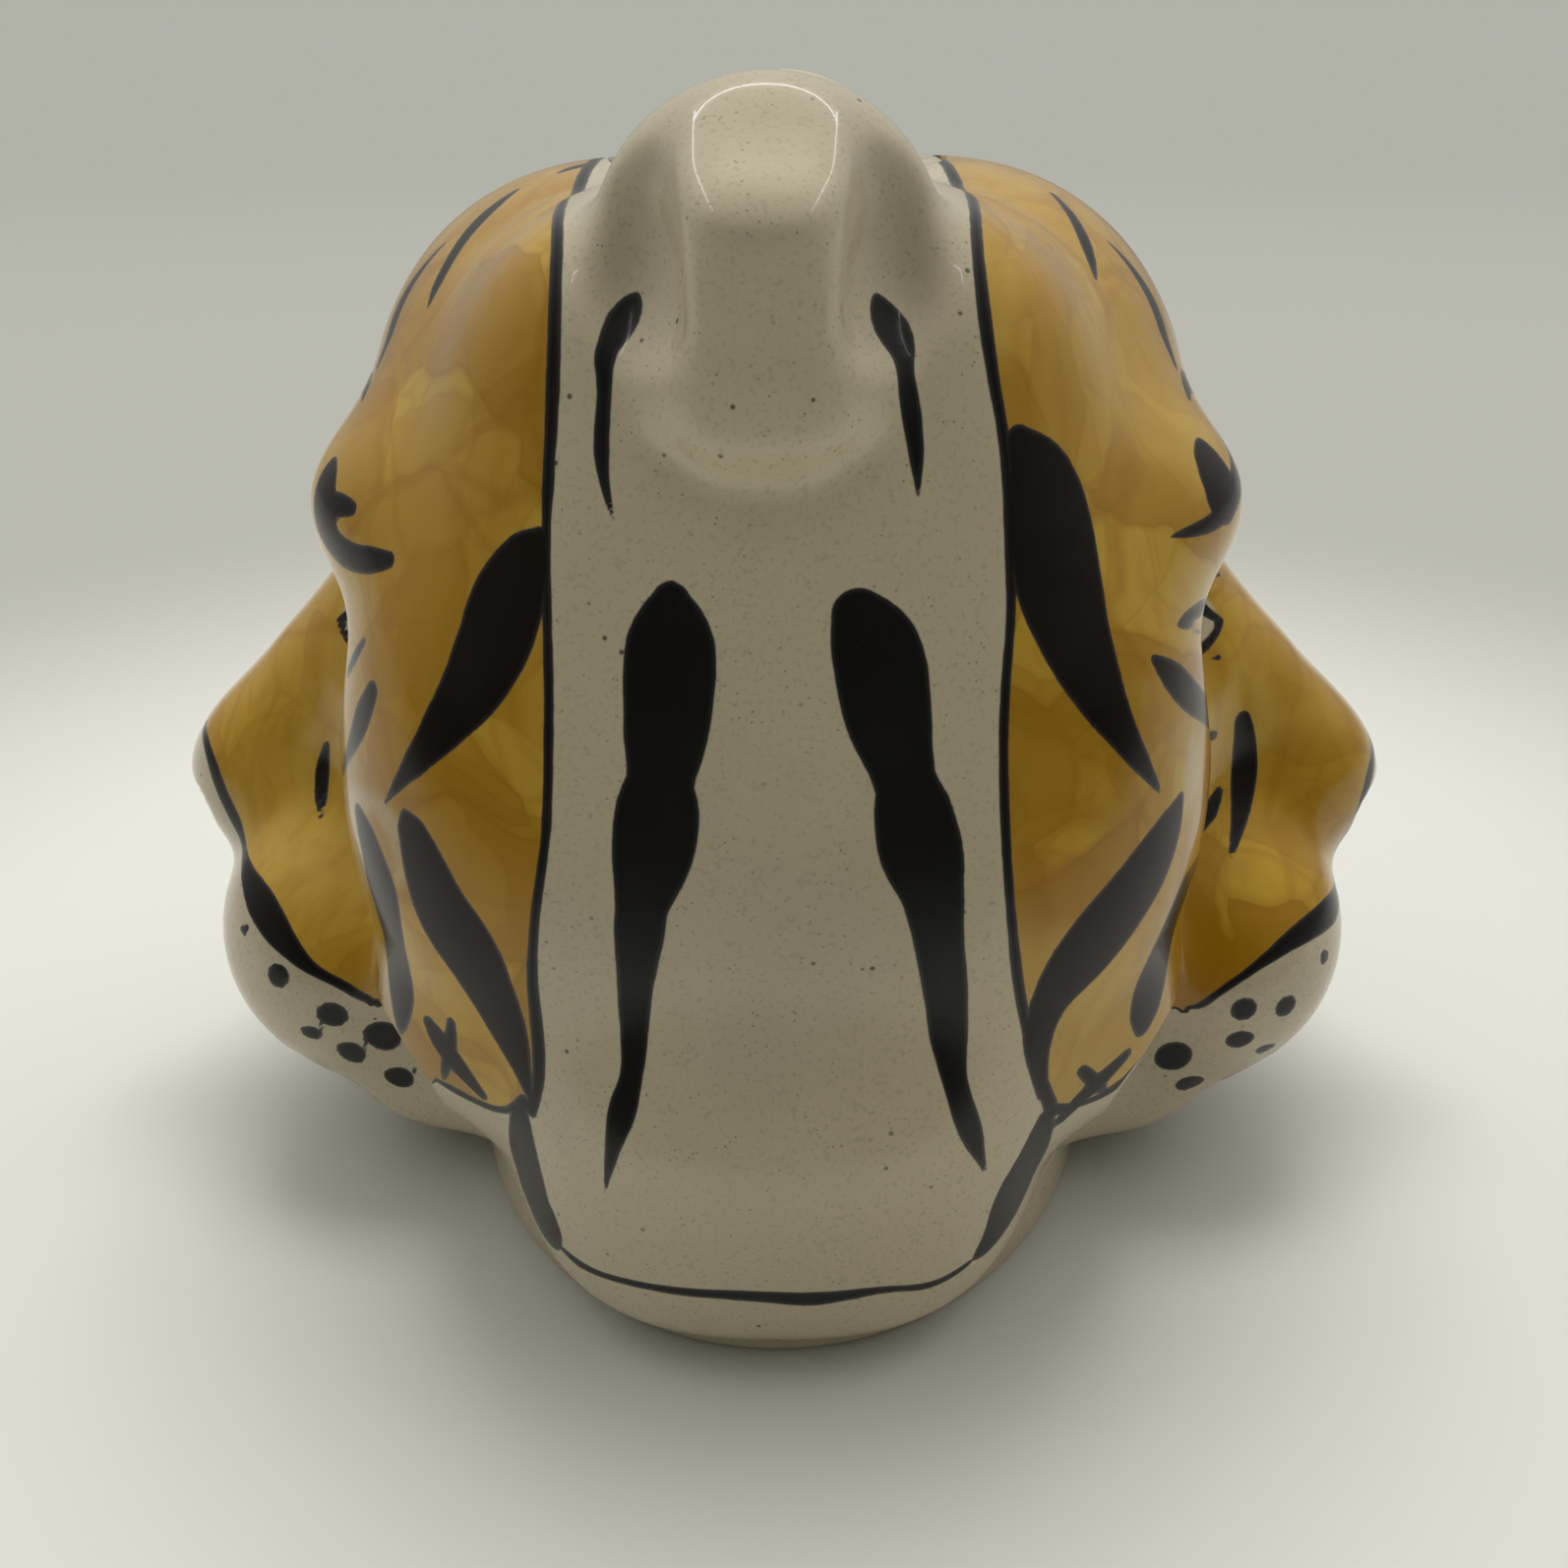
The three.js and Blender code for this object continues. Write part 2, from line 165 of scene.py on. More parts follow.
def outermost(field, start, way, farthest, coarse=64, halvings=14):
    """Walks in along each ray until the field turns negative, then halves the last step."""
    near = np.zeros(way.shape[:-1])
    far = np.full(way.shape[:-1], float(farthest))
    before = far.copy()
    found = np.zeros(way.shape[:-1], bool)
    for r in np.linspace(farthest, 0.5, coarse):
        p = start + way * r
        inside = (at_points(field, p) < 0) & ~found
        near[inside] = r
        far[inside] = before[inside]
        found |= inside
        before[:] = r
    for _ in range(halvings):
        r = (near + far) / 2
        p = start + way * r[..., None]
        inside = at_points(field, p) < 0
        near = np.where(inside, r, near)
        far = np.where(inside, far, r)
    return start + way * ((near + far) / 2)[..., None]


def slope_of(field, p, step=0.2):
    """The field's gradient by central differences."""
    parts = []
    for axis in range(3):
        move = np.zeros(3)
        move[axis] = step
        rise = at_points(field, p + move) - at_points(field, p - move)
        parts.append(rise / (2 * step))
    return np.stack(parts, -1)


def settle(field, p, rounds=8, longest=1.6):
    """Moves points onto the field's zero along its gradient, a little at a time."""
    for _ in range(rounds):
        g = slope_of(field, p)
        value = at_points(field, p)
        size = np.maximum((g**2).sum(-1), 1e-4)
        move = g * (value / size)[..., None]
        length = np.maximum(np.linalg.norm(move, axis=-1), 1e-9)
        p = p - move * np.minimum(1, longest / length)[..., None]
    return p


def unit(v):
    """Vectors of length 1 along the last axis."""
    return v / np.maximum(np.linalg.norm(v, axis=-1, keepdims=True), 1e-9)


# %% [markdown]
# A pressed half shell is an open bowl with a wall: an outer skin, an inner skin and an edge all
# round. Both skins are grids of the same two parameters, the way round and the way down. A fine
# grid outside and a coarse one inside keep the piece light.

# %% A control grid over one quarter of the head, relaxed while the forms sharpen
CONTROL_AROUND = 40  # from the seam, where X is 0, to the middle of a face, where Y is 0
CONTROL_DOWN = 72
ROUND_BODY = (62.0, 80.0, 80.0)  # the ellipsoid that the rays aim at
FORWARD, LIFT = 10.0, 12.0  # how far the rays' start moves towards the face, and up
RAY = 150.0  # farther out than any clay
SOFTEST = 1.6  # every blend is this many times wider at first
STAGES, ROUNDS = 6, 6
RELAX = 0.6  # share of the way to the neighbours' mean


def relax(p):
    """Moves each point towards the mean of its four neighbours. The seams are mirrors."""
    q = p.copy()
    cross = (p[2:, 1:-1] + p[:-2, 1:-1] + p[1:-1, 2:] + p[1:-1, :-2]) / 4
    q[1:-1, 1:-1] += RELAX * (cross - p[1:-1, 1:-1])
    for edge in (0, -1):
        q[edge, 1:-1] += RELAX * ((p[edge, 2:] + p[edge, :-2]) / 2 - p[edge, 1:-1])
    return on_planes(q)


def on_planes(p):
    """Column 0 lies on the plane X = 0 and the last column on Y = 0."""
    p[0, :, 0] = 0
    p[-1, :, 1] = 0
    return p


def control_grid(level):
    """Rays from the middle find soft forms first, and then the blends tighten step by step."""
    turn = np.linspace(np.pi / 2, 0, CONTROL_AROUND + 1)
    down = np.linspace(0, np.pi, CONTROL_DOWN + 1)
    turn, down = np.meshgrid(turn, down, indexing="ij")
    flat = np.sin(down)
    aim = np.stack([np.cos(turn) * flat, np.sin(turn) * flat, np.cos(down)], -1) * ROUND_BODY
    towards = (np.cos(turn) * flat) ** 2
    start = np.stack([FORWARD * towards, 0 * towards, LIFT * towards], -1)
    middle = np.array([0, 0, HEAD_MIDDLE])
    soft_field = lambda x, y, z: head_field(x, y, z, SOFTEST) - level
    p = on_planes(outermost(soft_field, start + middle, unit(aim - start), RAY))
    for stage in range(STAGES):
        soft = 1 + (SOFTEST - 1) * (1 - (stage + 1) / STAGES)
        field = lambda x, y, z: head_field(x, y, z, soft) - level
        for _ in range(ROUNDS):
            p = on_planes(settle(field, relax(p), 2))
    return p


# %% Resample the grid between the mouth and the foot, and settle it on the finished forms
def quarter_skin(columns, rows, level, fine):
    """Points and normals from the seam to the middle of the face, from the mouth to the foot."""
    control = control_grid(level)
    index = np.arange(CONTROL_DOWN + 1.0)
    half = CONTROL_DOWN // 2
    spread = np.hypot(control[..., 0], control[..., 1])
    oval = np.hypot(control[..., 0] / FOOT_HALF[0], control[..., 1] / FOOT_HALF[1])
    inset = 1 + level / FOOT_HALF[0] * FOOT_WALL / WALL
    columns_down = []
    for points, s, o in zip(control, spread, oval):
        top = np.interp(MOUTH_RADIUS + RIM_WALL, s[:half], index[:half])
        low = np.interp(-inset, -o[half:], index[half:])
        at = np.linspace(top, low, rows + 1)
        columns_down.append(np.stack([np.interp(at, index, points[:, k]) for k in range(3)], -1))
    down = np.array(columns_down)
    at = np.linspace(0, CONTROL_AROUND, columns + 1)
    low = np.minimum(at.astype(int), CONTROL_AROUND - 1)
    part = (at - low)[:, None, None]
    p = down[low] * (1 - part) + down[low + 1] * part
    field = lambda x, y, z: head_field(x, y, z, 1.0, fine) - level
    p = on_planes(settle(field, p, 6, 0.8))
    return p, unit(slope_of(field, p))


AROUND = 160  # cells from the seam to the middle of a face
DOWN = 248
COARSER = 8  # the inner skin has this many times fewer cells
outer_p, outer_n = quarter_skin(AROUND, DOWN, 0.0, True)
inner_p, inner_n = quarter_skin(AROUND // COARSER, DOWN // COARSER, -WALL, False)
print("outer skin, lowest and highest:", outer_p.min((0, 1)), outer_p.max((0, 1)))

# %% [markdown]
# The painter worked on the finished form, so the brush strokes follow it. Here each stroke is a
# chain of round dabs on the surface, and a point's distance to the chain says how far it is from
# the paint. That distance goes into the mesh as an attribute, and the glaze turns it into a crisp
# edge. An image of the strokes would be simpler, but it would blur and would need a file.
# The strokes that the photograph shows are named by their places in it, and a ray from the
# camera finds each place on the clay.

# %% The camera of the photograph, as numbers
PHOTO_SIZE = 1594
SENSOR = 36.0
LENS = 36.09
LOOKS_DOWN = math.radians(24.5)
ROLL = math.radians(-0.3)
TURNED = math.radians(1.1)  # the vase stands turned by this much before the camera
CAMERA_PLACE = (0.5, -250.0, 170.5)  # millimetres, before that turn
FOCAL = LENS / SENSOR * PHOTO_SIZE
NEAREST, FARTHEST = 110, 420  # a line of sight meets the vase between these


def turned_back(v):
    """From the camera's own frame to the vase's frame: a turn about Z."""
    c, s = math.cos(TURNED), math.sin(TURNED)
    return np.array([v[0] * c - v[1] * s, v[0] * s + v[1] * c, v[2]])


eye_place = turned_back(np.array(CAMERA_PLACE))
forward = turned_back(np.array([0, math.cos(LOOKS_DOWN), -math.sin(LOOKS_DOWN)]))
level_right = turned_back(np.array([1.0, 0.0, 0.0]))
level_up = np.cross(level_right, forward)
right = level_right * math.cos(ROLL) + level_up * math.sin(ROLL)
up = level_up * math.cos(ROLL) - level_right * math.sin(ROLL)


def photo_rays(x, y):
    """The ways of the rays through pixels of the photograph."""
    across = (np.asarray(x, float) - PHOTO_SIZE / 2) / FOCAL
    rise = (PHOTO_SIZE / 2 - np.asarray(y, float)) / FOCAL
    return unit(forward + across[..., None] * right + rise[..., None] * up)


def first_hit(field, start, way):
    """Where a ray enters the field. One that only passes by is pulled to the nearest surface."""
    r = np.linspace(NEAREST, FARTHEST, 160)
    p = start + way[..., None, :] * r[:, None]
    value = at_points(field, p)
    hit = value < 0
    index = np.where(hit.any(-1), hit.argmax(-1), value.argmin(-1))
    index = np.maximum(index, 1)
    low, high = r[index - 1], r[index]
    for _ in range(12):
        half = (low + high) / 2
        q = start + way * half[..., None]
        inside = at_points(field, q) < 0
        high = np.where(inside, half, high)
        low = np.where(inside, low, half)
    return settle(field, start + way * high[..., None], 6, 2.0)


def finished_head(x, y, z):
    """The head with its small forms, and with its blends as they are."""
    return head_field(x, y, z, 1.0, True)


EAR_BLEND = 3.5


def head_with_ears(x, y, z):
    """The ears melt into the shoulders here, where in the CAD model they only sit on them."""
    return melt(finished_head(x, y, z), ear_field(x, y, z), EAR_BLEND)


# %% The strokes that the photograph shows: pixel x, pixel y and half width in pixels
STROKES = dict(
    border_left=[
        (599, 169, 7), (586, 184, 7), (575, 208, 7), (569, 232, 7), (565, 300, 7), (562, 400, 7),
        (558, 480, 6), (555, 550, 5), (556, 620, 5), (558, 700, 5), (557, 800, 5), (555, 850, 5),
        (548, 900, 5), (543, 940, 5), (541, 1000, 6), (547, 1060, 7), (548, 1110, 7), (540, 1130, 7),
    ],
    border_right=[
        (956, 162, 6), (976, 179, 7), (985, 200, 7), (990, 232, 7), (998, 300, 7), (1003, 340, 7),
        (1012, 400, 6), (1020, 440, 6), (1025, 500, 6), (1027, 560, 6), (1028, 620, 5),
        (1022, 700, 5), (1020, 760, 5), (1022, 840, 5), (1027, 920, 5), (1035, 1000, 6),
        (1045, 1050, 6), (1055, 1090, 7), (1068, 1125, 9),
    ],
    foot_line=[
        (572, 1270, 3), (586, 1284, 4), (619, 1298, 3.5), (686, 1312, 4), (757, 1317, 5),
        (823, 1321, 6.5), (859, 1317, 5), (903, 1309, 3.5), (944, 1309, 3.5), (965, 1298, 3),
        (985, 1284, 2.5),
    ],
    stripe_left=[
        (682, 596, 6), (683, 612, 20), (681, 662, 46), (677, 744, 43), (671, 793, 35),
        (668, 826, 43), (664, 866, 42), (652, 920, 28), (650, 948, 26), (645, 1009, 18),
        (643, 1091, 12), (632, 1130, 15), (622, 1170, 8), (615, 1213, 1),
    ],
    stripe_right=[
        (864, 610, 10), (872, 625, 28), (893, 662, 46), (902, 724, 45), (920, 793, 32),
        (928, 826, 40), (936, 866, 43), (949, 907, 33), (953, 948, 27), (960, 993, 24),
        (965, 1050, 20), (971, 1103, 13), (987, 1150, 13), (1001, 1190, 2),
    ],
    leaf_low_left=[
        (529, 1130, 11), (533, 1170, 22), (539, 1205, 26), (548, 1235, 20), (558, 1254, 6),
    ],
    leaf_low_right=[
        (1063, 1136, 10), (1050, 1170, 19), (1034, 1210, 22), (1018, 1242, 15), (1003, 1265, 8),
        (990, 1279, 2),
    ],
    tick_left=[
        (646, 303, 5), (641, 311, 12), (636, 324, 16), (627, 338, 15), (617, 352, 12),
        (613, 363, 11), (616, 379, 9), (615, 400, 8), (612, 430, 8), (611, 460, 8), (612, 480, 6),
        (617, 505, 4), (624, 531, 1),
    ],
    tick_right=[
        (893, 308, 7), (897, 318, 13), (905, 333, 17), (914, 350, 15), (919, 364, 11),
        (919, 380, 9), (922, 400, 10), (928, 430, 10), (932, 460, 8), (933, 485, 5), (933, 505, 1),
    ],
    big_left=[
        (550, 545, 10), (532, 572, 28), (514, 612, 38), (500, 655, 38), (478, 700, 33),
        (450, 738, 24), (422, 775, 14), (402, 800, 6), (391, 817, 1),
    ],
    oval_left=[(378, 703, 9), (368, 730, 14), (357, 760, 10), (348, 787, 3)],
    bridge_leaf_left=[(332, 757, 4), (326, 785, 7), (325, 812, 6), (326, 832, 2)],
    thin_left=[
        (366, 832, 8), (374, 855, 13), (386, 900, 18), (398, 950, 19), (408, 1000, 18),
        (411, 1035, 11), (411, 1052, 3),
    ],
    lower_left=[
        (412, 828, 4), (421, 850, 14), (432, 885, 22), (450, 930, 27), (478, 972, 28),
        (500, 1015, 24), (517, 1052, 18), (531, 1090, 9), (540, 1118, 4),
    ],
    cross_left=[(438, 1040, 5), (450, 1060, 8), (468, 1085, 7), (490, 1112, 4)],
    cross_over_left=[(459, 1038, 5), (461, 1060, 8), (456, 1080, 7), (452, 1097, 3)],
    brow_left=[
        (336, 474, 6), (330, 490, 12), (327, 512, 15), (330, 538, 16), (341, 560, 16),
        (358, 570, 15), (380, 571, 14), (396, 569, 9),
    ],
    brow_fork_left=[(334, 512, 13), (348, 512, 13), (358, 517, 8)],
    eye_mark_left=[(370, 652, 4), (362, 665, 7), (354, 683, 6)],
    forehead_left=[
        (524, 194, 3), (500, 212, 7), (478, 234, 8), (459, 262, 7), (445, 288, 6), (436, 310, 2),
    ],
    dash_left=[(570, 175, 3), (583, 170, 6), (597, 167, 5)],
    muzzle_left=[
        (208, 738, 4), (214, 765, 5), (224, 800, 5), (238, 832, 5), (245, 860, 4),
        (251, 885, 8), (263, 915, 16), (281, 945, 15), (300, 970, 10), (322, 990, 6),
        (355, 1003, 5), (378, 1021, 5), (397, 1044, 5), (412, 1070, 4), (420, 1090, 3),
    ],
    jowl_left=[(446, 1096, 3), (459, 1104, 4), (490, 1123, 4), (517, 1134, 5), (534, 1122, 11)],
    big_right=[
        (1036, 450, 16), (1060, 490, 36), (1070, 540, 44), (1078, 590, 44), (1092, 640, 38),
        (1112, 690, 30), (1135, 735, 20), (1160, 775, 11), (1180, 806, 2),
    ],
    brow_right=[
        (1241, 428, 3), (1252, 455, 10), (1258, 485, 14), (1252, 512, 14), (1238, 532, 10),
        (1215, 541, 7), (1190, 545, 2),
    ],
    brow_fork_right=[(1224, 455, 6), (1231, 474, 15), (1243, 496, 19)],
    brow_tip_right=[(1264, 452, 4), (1266, 480, 6)],
    lid_right=[(1240, 583, 3), (1226, 605, 5), (1212, 622, 9), (1198, 634, 4)],
    lid_low_right=[(1198, 636, 3), (1215, 650, 3), (1240, 668, 3)],
    oval_right=[(1173, 670, 5), (1187, 684, 15), (1205, 702, 19), (1222, 725, 15), (1235, 748, 5)],
    bridge_leaf_right=[
        (1263, 733, 9), (1266, 755, 12), (1266, 790, 13), (1261, 830, 9), (1254, 858, 5),
        (1251, 872, 2),
    ],
    lower_right=[
        (1200, 812, 4), (1188, 845, 13), (1165, 890, 22), (1132, 935, 26), (1100, 975, 26),
        (1070, 1015, 20), (1055, 1050, 17), (1055, 1085, 12), (1060, 1112, 7),
    ],
    second_right=[
        (1240, 803, 4), (1225, 845, 13), (1208, 895, 13), (1190, 940, 14), (1175, 985, 16),
        (1166, 1020, 16), (1162, 1042, 9),
    ],
    cross_right=[(1145, 1072, 4), (1125, 1092, 6), (1100, 1115, 6), (1079, 1137, 5)],
    cross_over_right=[(1100, 1088, 7), (1112, 1098, 9), (1122, 1110, 5)],
    muzzle_right=[
        (1399, 742, 4), (1393, 780, 5), (1383, 820, 5), (1372, 855, 5), (1366, 885, 5),
        (1363, 908, 9), (1350, 930, 14), (1325, 945, 12), (1300, 965, 8), (1277, 982, 5),
        (1250, 1002, 4), (1225, 1018, 4), (1200, 1043, 4), (1178, 1065, 4), (1150, 1092, 4),
    ],
    jowl_right=[(1150, 1092, 4), (1125, 1112, 4), (1095, 1125, 4), (1070, 1130, 9)],
    forehead_right=[
        (1070, 197, 3), (1087, 214, 6), (1101, 240, 8), (1109, 262, 7), (1114, 284, 2),
    ],
)
BARE_STROKES = dict(  # where the wash is thin over the cream, along the fold of a cheek
    fold_left=[(356, 812, 12), (372, 806, 14), (392, 822, 10), (402, 850, 7), (408, 890, 4)],
    fold_side_left=[(354, 820, 14), (364, 870, 16), (378, 930, 15), (394, 985, 11), (404, 1030, 5)],
    fold_right=[(1210, 758, 5), (1216, 776, 11), (1212, 800, 10), (1207, 818, 4)],
)
MUZZLE_SPOTS = [
    (282, 992, 13), (337, 1033, 14), (387, 1057, 14), (315, 1052, 10), (354, 1074, 11),
    (405, 1095, 11), (248, 945, 7), (1264, 1026, 12), (1307, 1023, 12), (1261, 1060, 12),
    (1193, 1076, 12), (1209, 1101, 10), (1346, 973, 8), (1287, 1068, 10), (1248, 1095, 8),
]

# %% [markdown]
# The photograph doesn't show the front of a face. Its eyes, lips and forehead are painted in the
# same style, and each stroke is mirrored to the other half.

# %% The strokes on the front of a face: Y, Z and half width in millimetres
FRONT_STROKES = dict(
    lid_up=[(16.5, 92, 0.7), (20, 98, 1.3), (27, 101.5, 1.7), (35, 100, 1.5), (41, 94, 0.9)],
    lid_down=[(16.5, 92, 0.7), (21, 88.5, 0.8), (29, 87, 0.9), (36, 89, 0.8), (41, 94, 0.7)],
    pupil=[(26.5, 96, 3.6), (26.7, 94, 3.7)],
    nostril=[(5.5, 57.5, 1.2), (7.5, 58.2, 1.6), (9, 60.5, 0.8)],
    lip_groove=[(0, 50, 0.9), (0, 42, 0.8), (0, 34, 0.9)],
    mouth=[(0, 33, 1.0), (6, 27.5, 1.3), (14, 23, 1.5), (24, 21.5, 1.5), (33, 24, 1.0)],
    brow_mid=[(9, 112, 0.4), (11, 120, 2.0), (17, 127, 2.6), (25, 130, 1.8), (32, 129, 0.4)],
    brow_low=[(14, 108, 0.4), (20, 113, 2.0), (28, 115, 2.0), (34, 114, 0.4)],
    forehead_side=[(7, 150, 0.4), (8, 142, 2.1), (11, 134, 2.4), (12, 127, 0.5)],
    crown=[(19, 148, 0.4), (20, 141, 2.2), (24, 135, 1.8), (27, 132, 0.4)],
    forehead_line=[(0, 148, 0.4), (0, 140, 2.0), (0, 130, 2.4), (0, 120, 1.6), (0, 112, 0.3)],
)
FRONT_SPOTS = [(8, 40, 1.5), (14.5, 43, 1.6), (11, 33, 1.5), (17.5, 36, 1.6)]


# %% From lists of dabs to chains of dabs on the clay
DAB_STEP = 9.0  # pixels between dabs
FRONT_STEP = 1.6  # millimetres between dabs
BEFORE_THE_NOSE = 130.0  # X from which strokes are cast on a front
FRONT_DEPTH = 110.0  # and how far in they may fall
EVENED = 6  # times that a cast chain is evened out
LEAST_SHOWN = 0.5  # share of a stroke's true width that a slanted surface still shows


def flowing(dabs, step):
    """A Catmull-Rom curve through the dabs: smooth, and through each of them."""
    d = np.array(dabs, float)
    if len(d) < 3:
        d = np.array([d[0], (d[0] + d[-1]) / 2, d[-1]])
    ends = np.vstack([2 * d[0] - d[1], d, 2 * d[-1] - d[-2]])
    out = []
    for a, b, c, e in zip(ends, ends[1:], ends[2:], ends[3:]):
        count = max(2, int(np.hypot(*(c - b)[:2]) / step))
        t = np.linspace(0, 1, count, endpoint=False)[:, None]
        out.append(
            0.5 * (2 * b + (c - a) * t + (2 * a - 5 * b + 4 * c - e) * t**2
                   + (3 * b - a - 3 * c + e) * t**3)
        )
    out = np.vstack([*out, d[-1:]])
    out[:, 2] = np.maximum(out[:, 2], 0.05)
    return out


def on_clay(dabs):
    """Pixels to points on the clay, and pixel widths to millimetres. Where a line of sight only
    grazes the clay, the places jump to and fro, so the chain is evened out and settled again."""
    d = flowing(dabs, DAB_STEP)
    p = first_hit(head_with_ears, eye_place, photo_rays(d[:, 0], d[:, 1]))
    for _ in range(EVENED):
        p[1:-1] = (p[:-2] + 2 * p[1:-1] + p[2:]) / 4
        p = settle(head_with_ears, p, 3, 1.0)
    depth = (p - eye_place) @ forward
    across = unit(np.cross(slope_of(head_with_ears, p), np.gradient(p, axis=0)))
    shown = np.sqrt(1 - (across * unit(p - eye_place)).sum(1) ** 2)
    return np.column_stack([p, d[:, 2] * depth / FOCAL / np.maximum(shown, LEAST_SHOWN)])


def straight_in(start, way, deepest, steps, rounds):
    """Where rays that all go the same way meet the head."""
    r = np.linspace(0, deepest, steps)
    inside = at_points(finished_head, start[:, None, :] + way * r[:, None]) < 0
    met = r[np.maximum(inside.argmax(1), 1)]
    return settle(finished_head, start + way * met[:, None], rounds, 1.0)


def on_front(dabs, side, half):
    """Places in the front view to points on the face on that side of X, mirrored by the half."""
    d = flowing(dabs, FRONT_STEP) * (half, 1, 1)
    start = np.column_stack([np.full(len(d), BEFORE_THE_NOSE * side), d[:, 0], d[:, 1]])
    met = straight_in(start, np.array([-side, 0.0, 0.0]), FRONT_DEPTH, 160, 8)
    return np.column_stack([met, d[:, 2]])


SWAY_WAVES = (17.0, 13.0)  # millimetres: how slowly a far stroke wanders to and fro
OTHER_WIDTH = 0.06  # share by which a far stroke's width differs


def to_far_side(chain, sway):
    """The same stroke on the far side, a little different, as a hand would repeat it."""
    c = chain.copy()
    c[:, 1] *= -1
    c[:, 0] += sway * np.sin(c[:, 2] / SWAY_WAVES[0] + sway * 3)
    c[:, 2] += sway * np.sin(c[:, 0] / SWAY_WAVES[1] + 1.0)
    c[:, :3] = settle(head_with_ears, c[:, :3], 5, 1.0)
    c[:, 3] *= 1 + OTHER_WIDTH * math.sin(5 * sway)
    return c


near_lines = {name: on_clay(dabs) for name, dabs in STROKES.items()}
near_spots = [on_clay([(x, y, r), (x + 1, y, r)]) for x, y, r in MUZZLE_SPOTS]
EDGES = ("border_left", "border_right", "muzzle_left", "muzzle_right", "jowl_left", "jowl_right")
FOOT_LINE = "foot_line"
near = [c for name, c in near_lines.items() if name not in (*EDGES, FOOT_LINE)] + near_spots
far = [to_far_side(c, 0.5 + 0.9 * math.sin(2.1 * k)) for k, c in enumerate(near)]
drawn = [*FRONT_STROKES.values(), *([(y, z, r), (y, z - 0.4, r)] for y, z, r in FRONT_SPOTS)]
front = [on_front(dabs, side, half) for side in (-1, 1) for half in (-1, 1) for dabs in drawn]


TOP_DABS = 90
ABOVE, BELOW = 175.0, 115.0  # heights between which a line is cast on the top of the head


def over_the_top(near_border):
    """A border line goes on from its top end, over the head beside the mouth, to the far side."""
    x, y, _, r = near_border[0]
    every = np.ones(TOP_DABS)
    start = np.column_stack([x * every, np.linspace(y, -y, TOP_DABS), ABOVE * every])
    met = straight_in(start, np.array([0.0, 0.0, -1.0]), ABOVE - BELOW, 120, 5)
    return np.column_stack([met, r * every])


strokes = near + far + front
edges = [near_lines[name] for name in EDGES]
edges += [to_far_side(c, 0.0) for c in edges] + [over_the_top(c) for c in edges[:2]]
foot_lines = [near_lines[FOOT_LINE], to_far_side(near_lines[FOOT_LINE], 0.0)]
bare = [on_clay(dabs) for dabs in BARE_STROKES.values()]
bare += [to_far_side(c, 0.8) for c in bare]
print(len(strokes), "strokes,", sum(len(c) for c in strokes), "dabs")

# %% [markdown]
# A fine line is thinner than a cell of the mesh and would come out as a row of dots. So it is kept
# as a distance with a sign, which crosses the line evenly, and as the line's width.

# %% Distance to the ink, and distance into the ochre wash
INK_REACH = 6.0  # farther from the ink than this, the distance is cut off
EYE_MIDDLE = (28.5, 94.3)  # Y and Z on a face
EYE_HALF = (12.0, 6.5)
EYE_DEPTH = 8.0  # turns a share of the eye's half size into a distance
EYE_FRONT = 48.0  # an eye lies farther out along X than this


def to_chains(p, chains, filled):
    """The least distance to chains of cones, |q - a - t (b - a)| - radius, and the radius there.
    Chains that are not filled count as thin lines: their radius is not taken off."""
    best = np.full(len(p), INK_REACH)
    width = np.zeros(len(p))
    for c in chains:
        r = c[:, 3].max() + INK_REACH
        near_it = np.all((p > c[:, :3].min(0) - r) & (p < c[:, :3].max(0) + r), axis=1)
        index = np.flatnonzero(near_it)
        if len(index) == 0:
            continue
        q = p[index]
        least, wide = best[index], width[index]
        for a, b in zip(c, c[1:]):
            ab = b[:3] - a[:3]
            t = np.clip((q - a[:3]) @ ab / max(ab @ ab, 1e-9), 0, 1)
            away = q - a[:3] - t[:, None] * ab
            radius = a[3] + t * (b[3] - a[3])
            d = np.sqrt((away**2).sum(1)) - radius * filled
            wide = np.where(d < least, radius, wide)
            least = np.minimum(least, d)
        best[index], width[index] = least, wide
    return best, width


def border_at(chain):
    """A border line as X over Z, from its points."""
    order = np.argsort(chain[:, 2])
    return lambda z: np.interp(z, chain[order, 2], np.abs(chain[order, 0]))


PAST_THE_JOWL = (1.5, 25.0)  # beyond the jowl the edge turns up: so far out, and so far up


def edge_below(side):
    """The lower edge of the ochre as Z over |X|: from the nose along the muzzle and the jowl."""
    chain = np.vstack([near_lines["muzzle_" + side], near_lines["jowl_" + side]])
    order = np.argsort(np.abs(chain[:, 0]))
    x, z = np.abs(chain[order, 0]), chain[order, 2]
    return np.append(x, x[-1] + PAST_THE_JOWL[0]), np.append(z, z[-1] + PAST_THE_JOWL[1])


def from_curve(x, z, curve_x, curve_z):
    """Distance in the X-Z plane to a curve, positive above it."""
    best = np.full(len(x), 1e3)
    for ax, az, bx, bz in zip(curve_x, curve_z, curve_x[1:], curve_z[1:]):
        along, up_by = bx - ax, bz - az
        t = np.clip(((x - ax) * along + (z - az) * up_by) / max(along**2 + up_by**2, 1e-9), 0, 1)
        np.minimum(best, np.hypot(x - ax - t * along, z - az - t * up_by), out=best)
    return np.where(z > np.interp(x, curve_x, curve_z), best, -best)


border_left = border_at(near_lines["border_left"])
border_right = border_at(near_lines["border_right"])
below_left = edge_below("left")
below_right = edge_below("right")


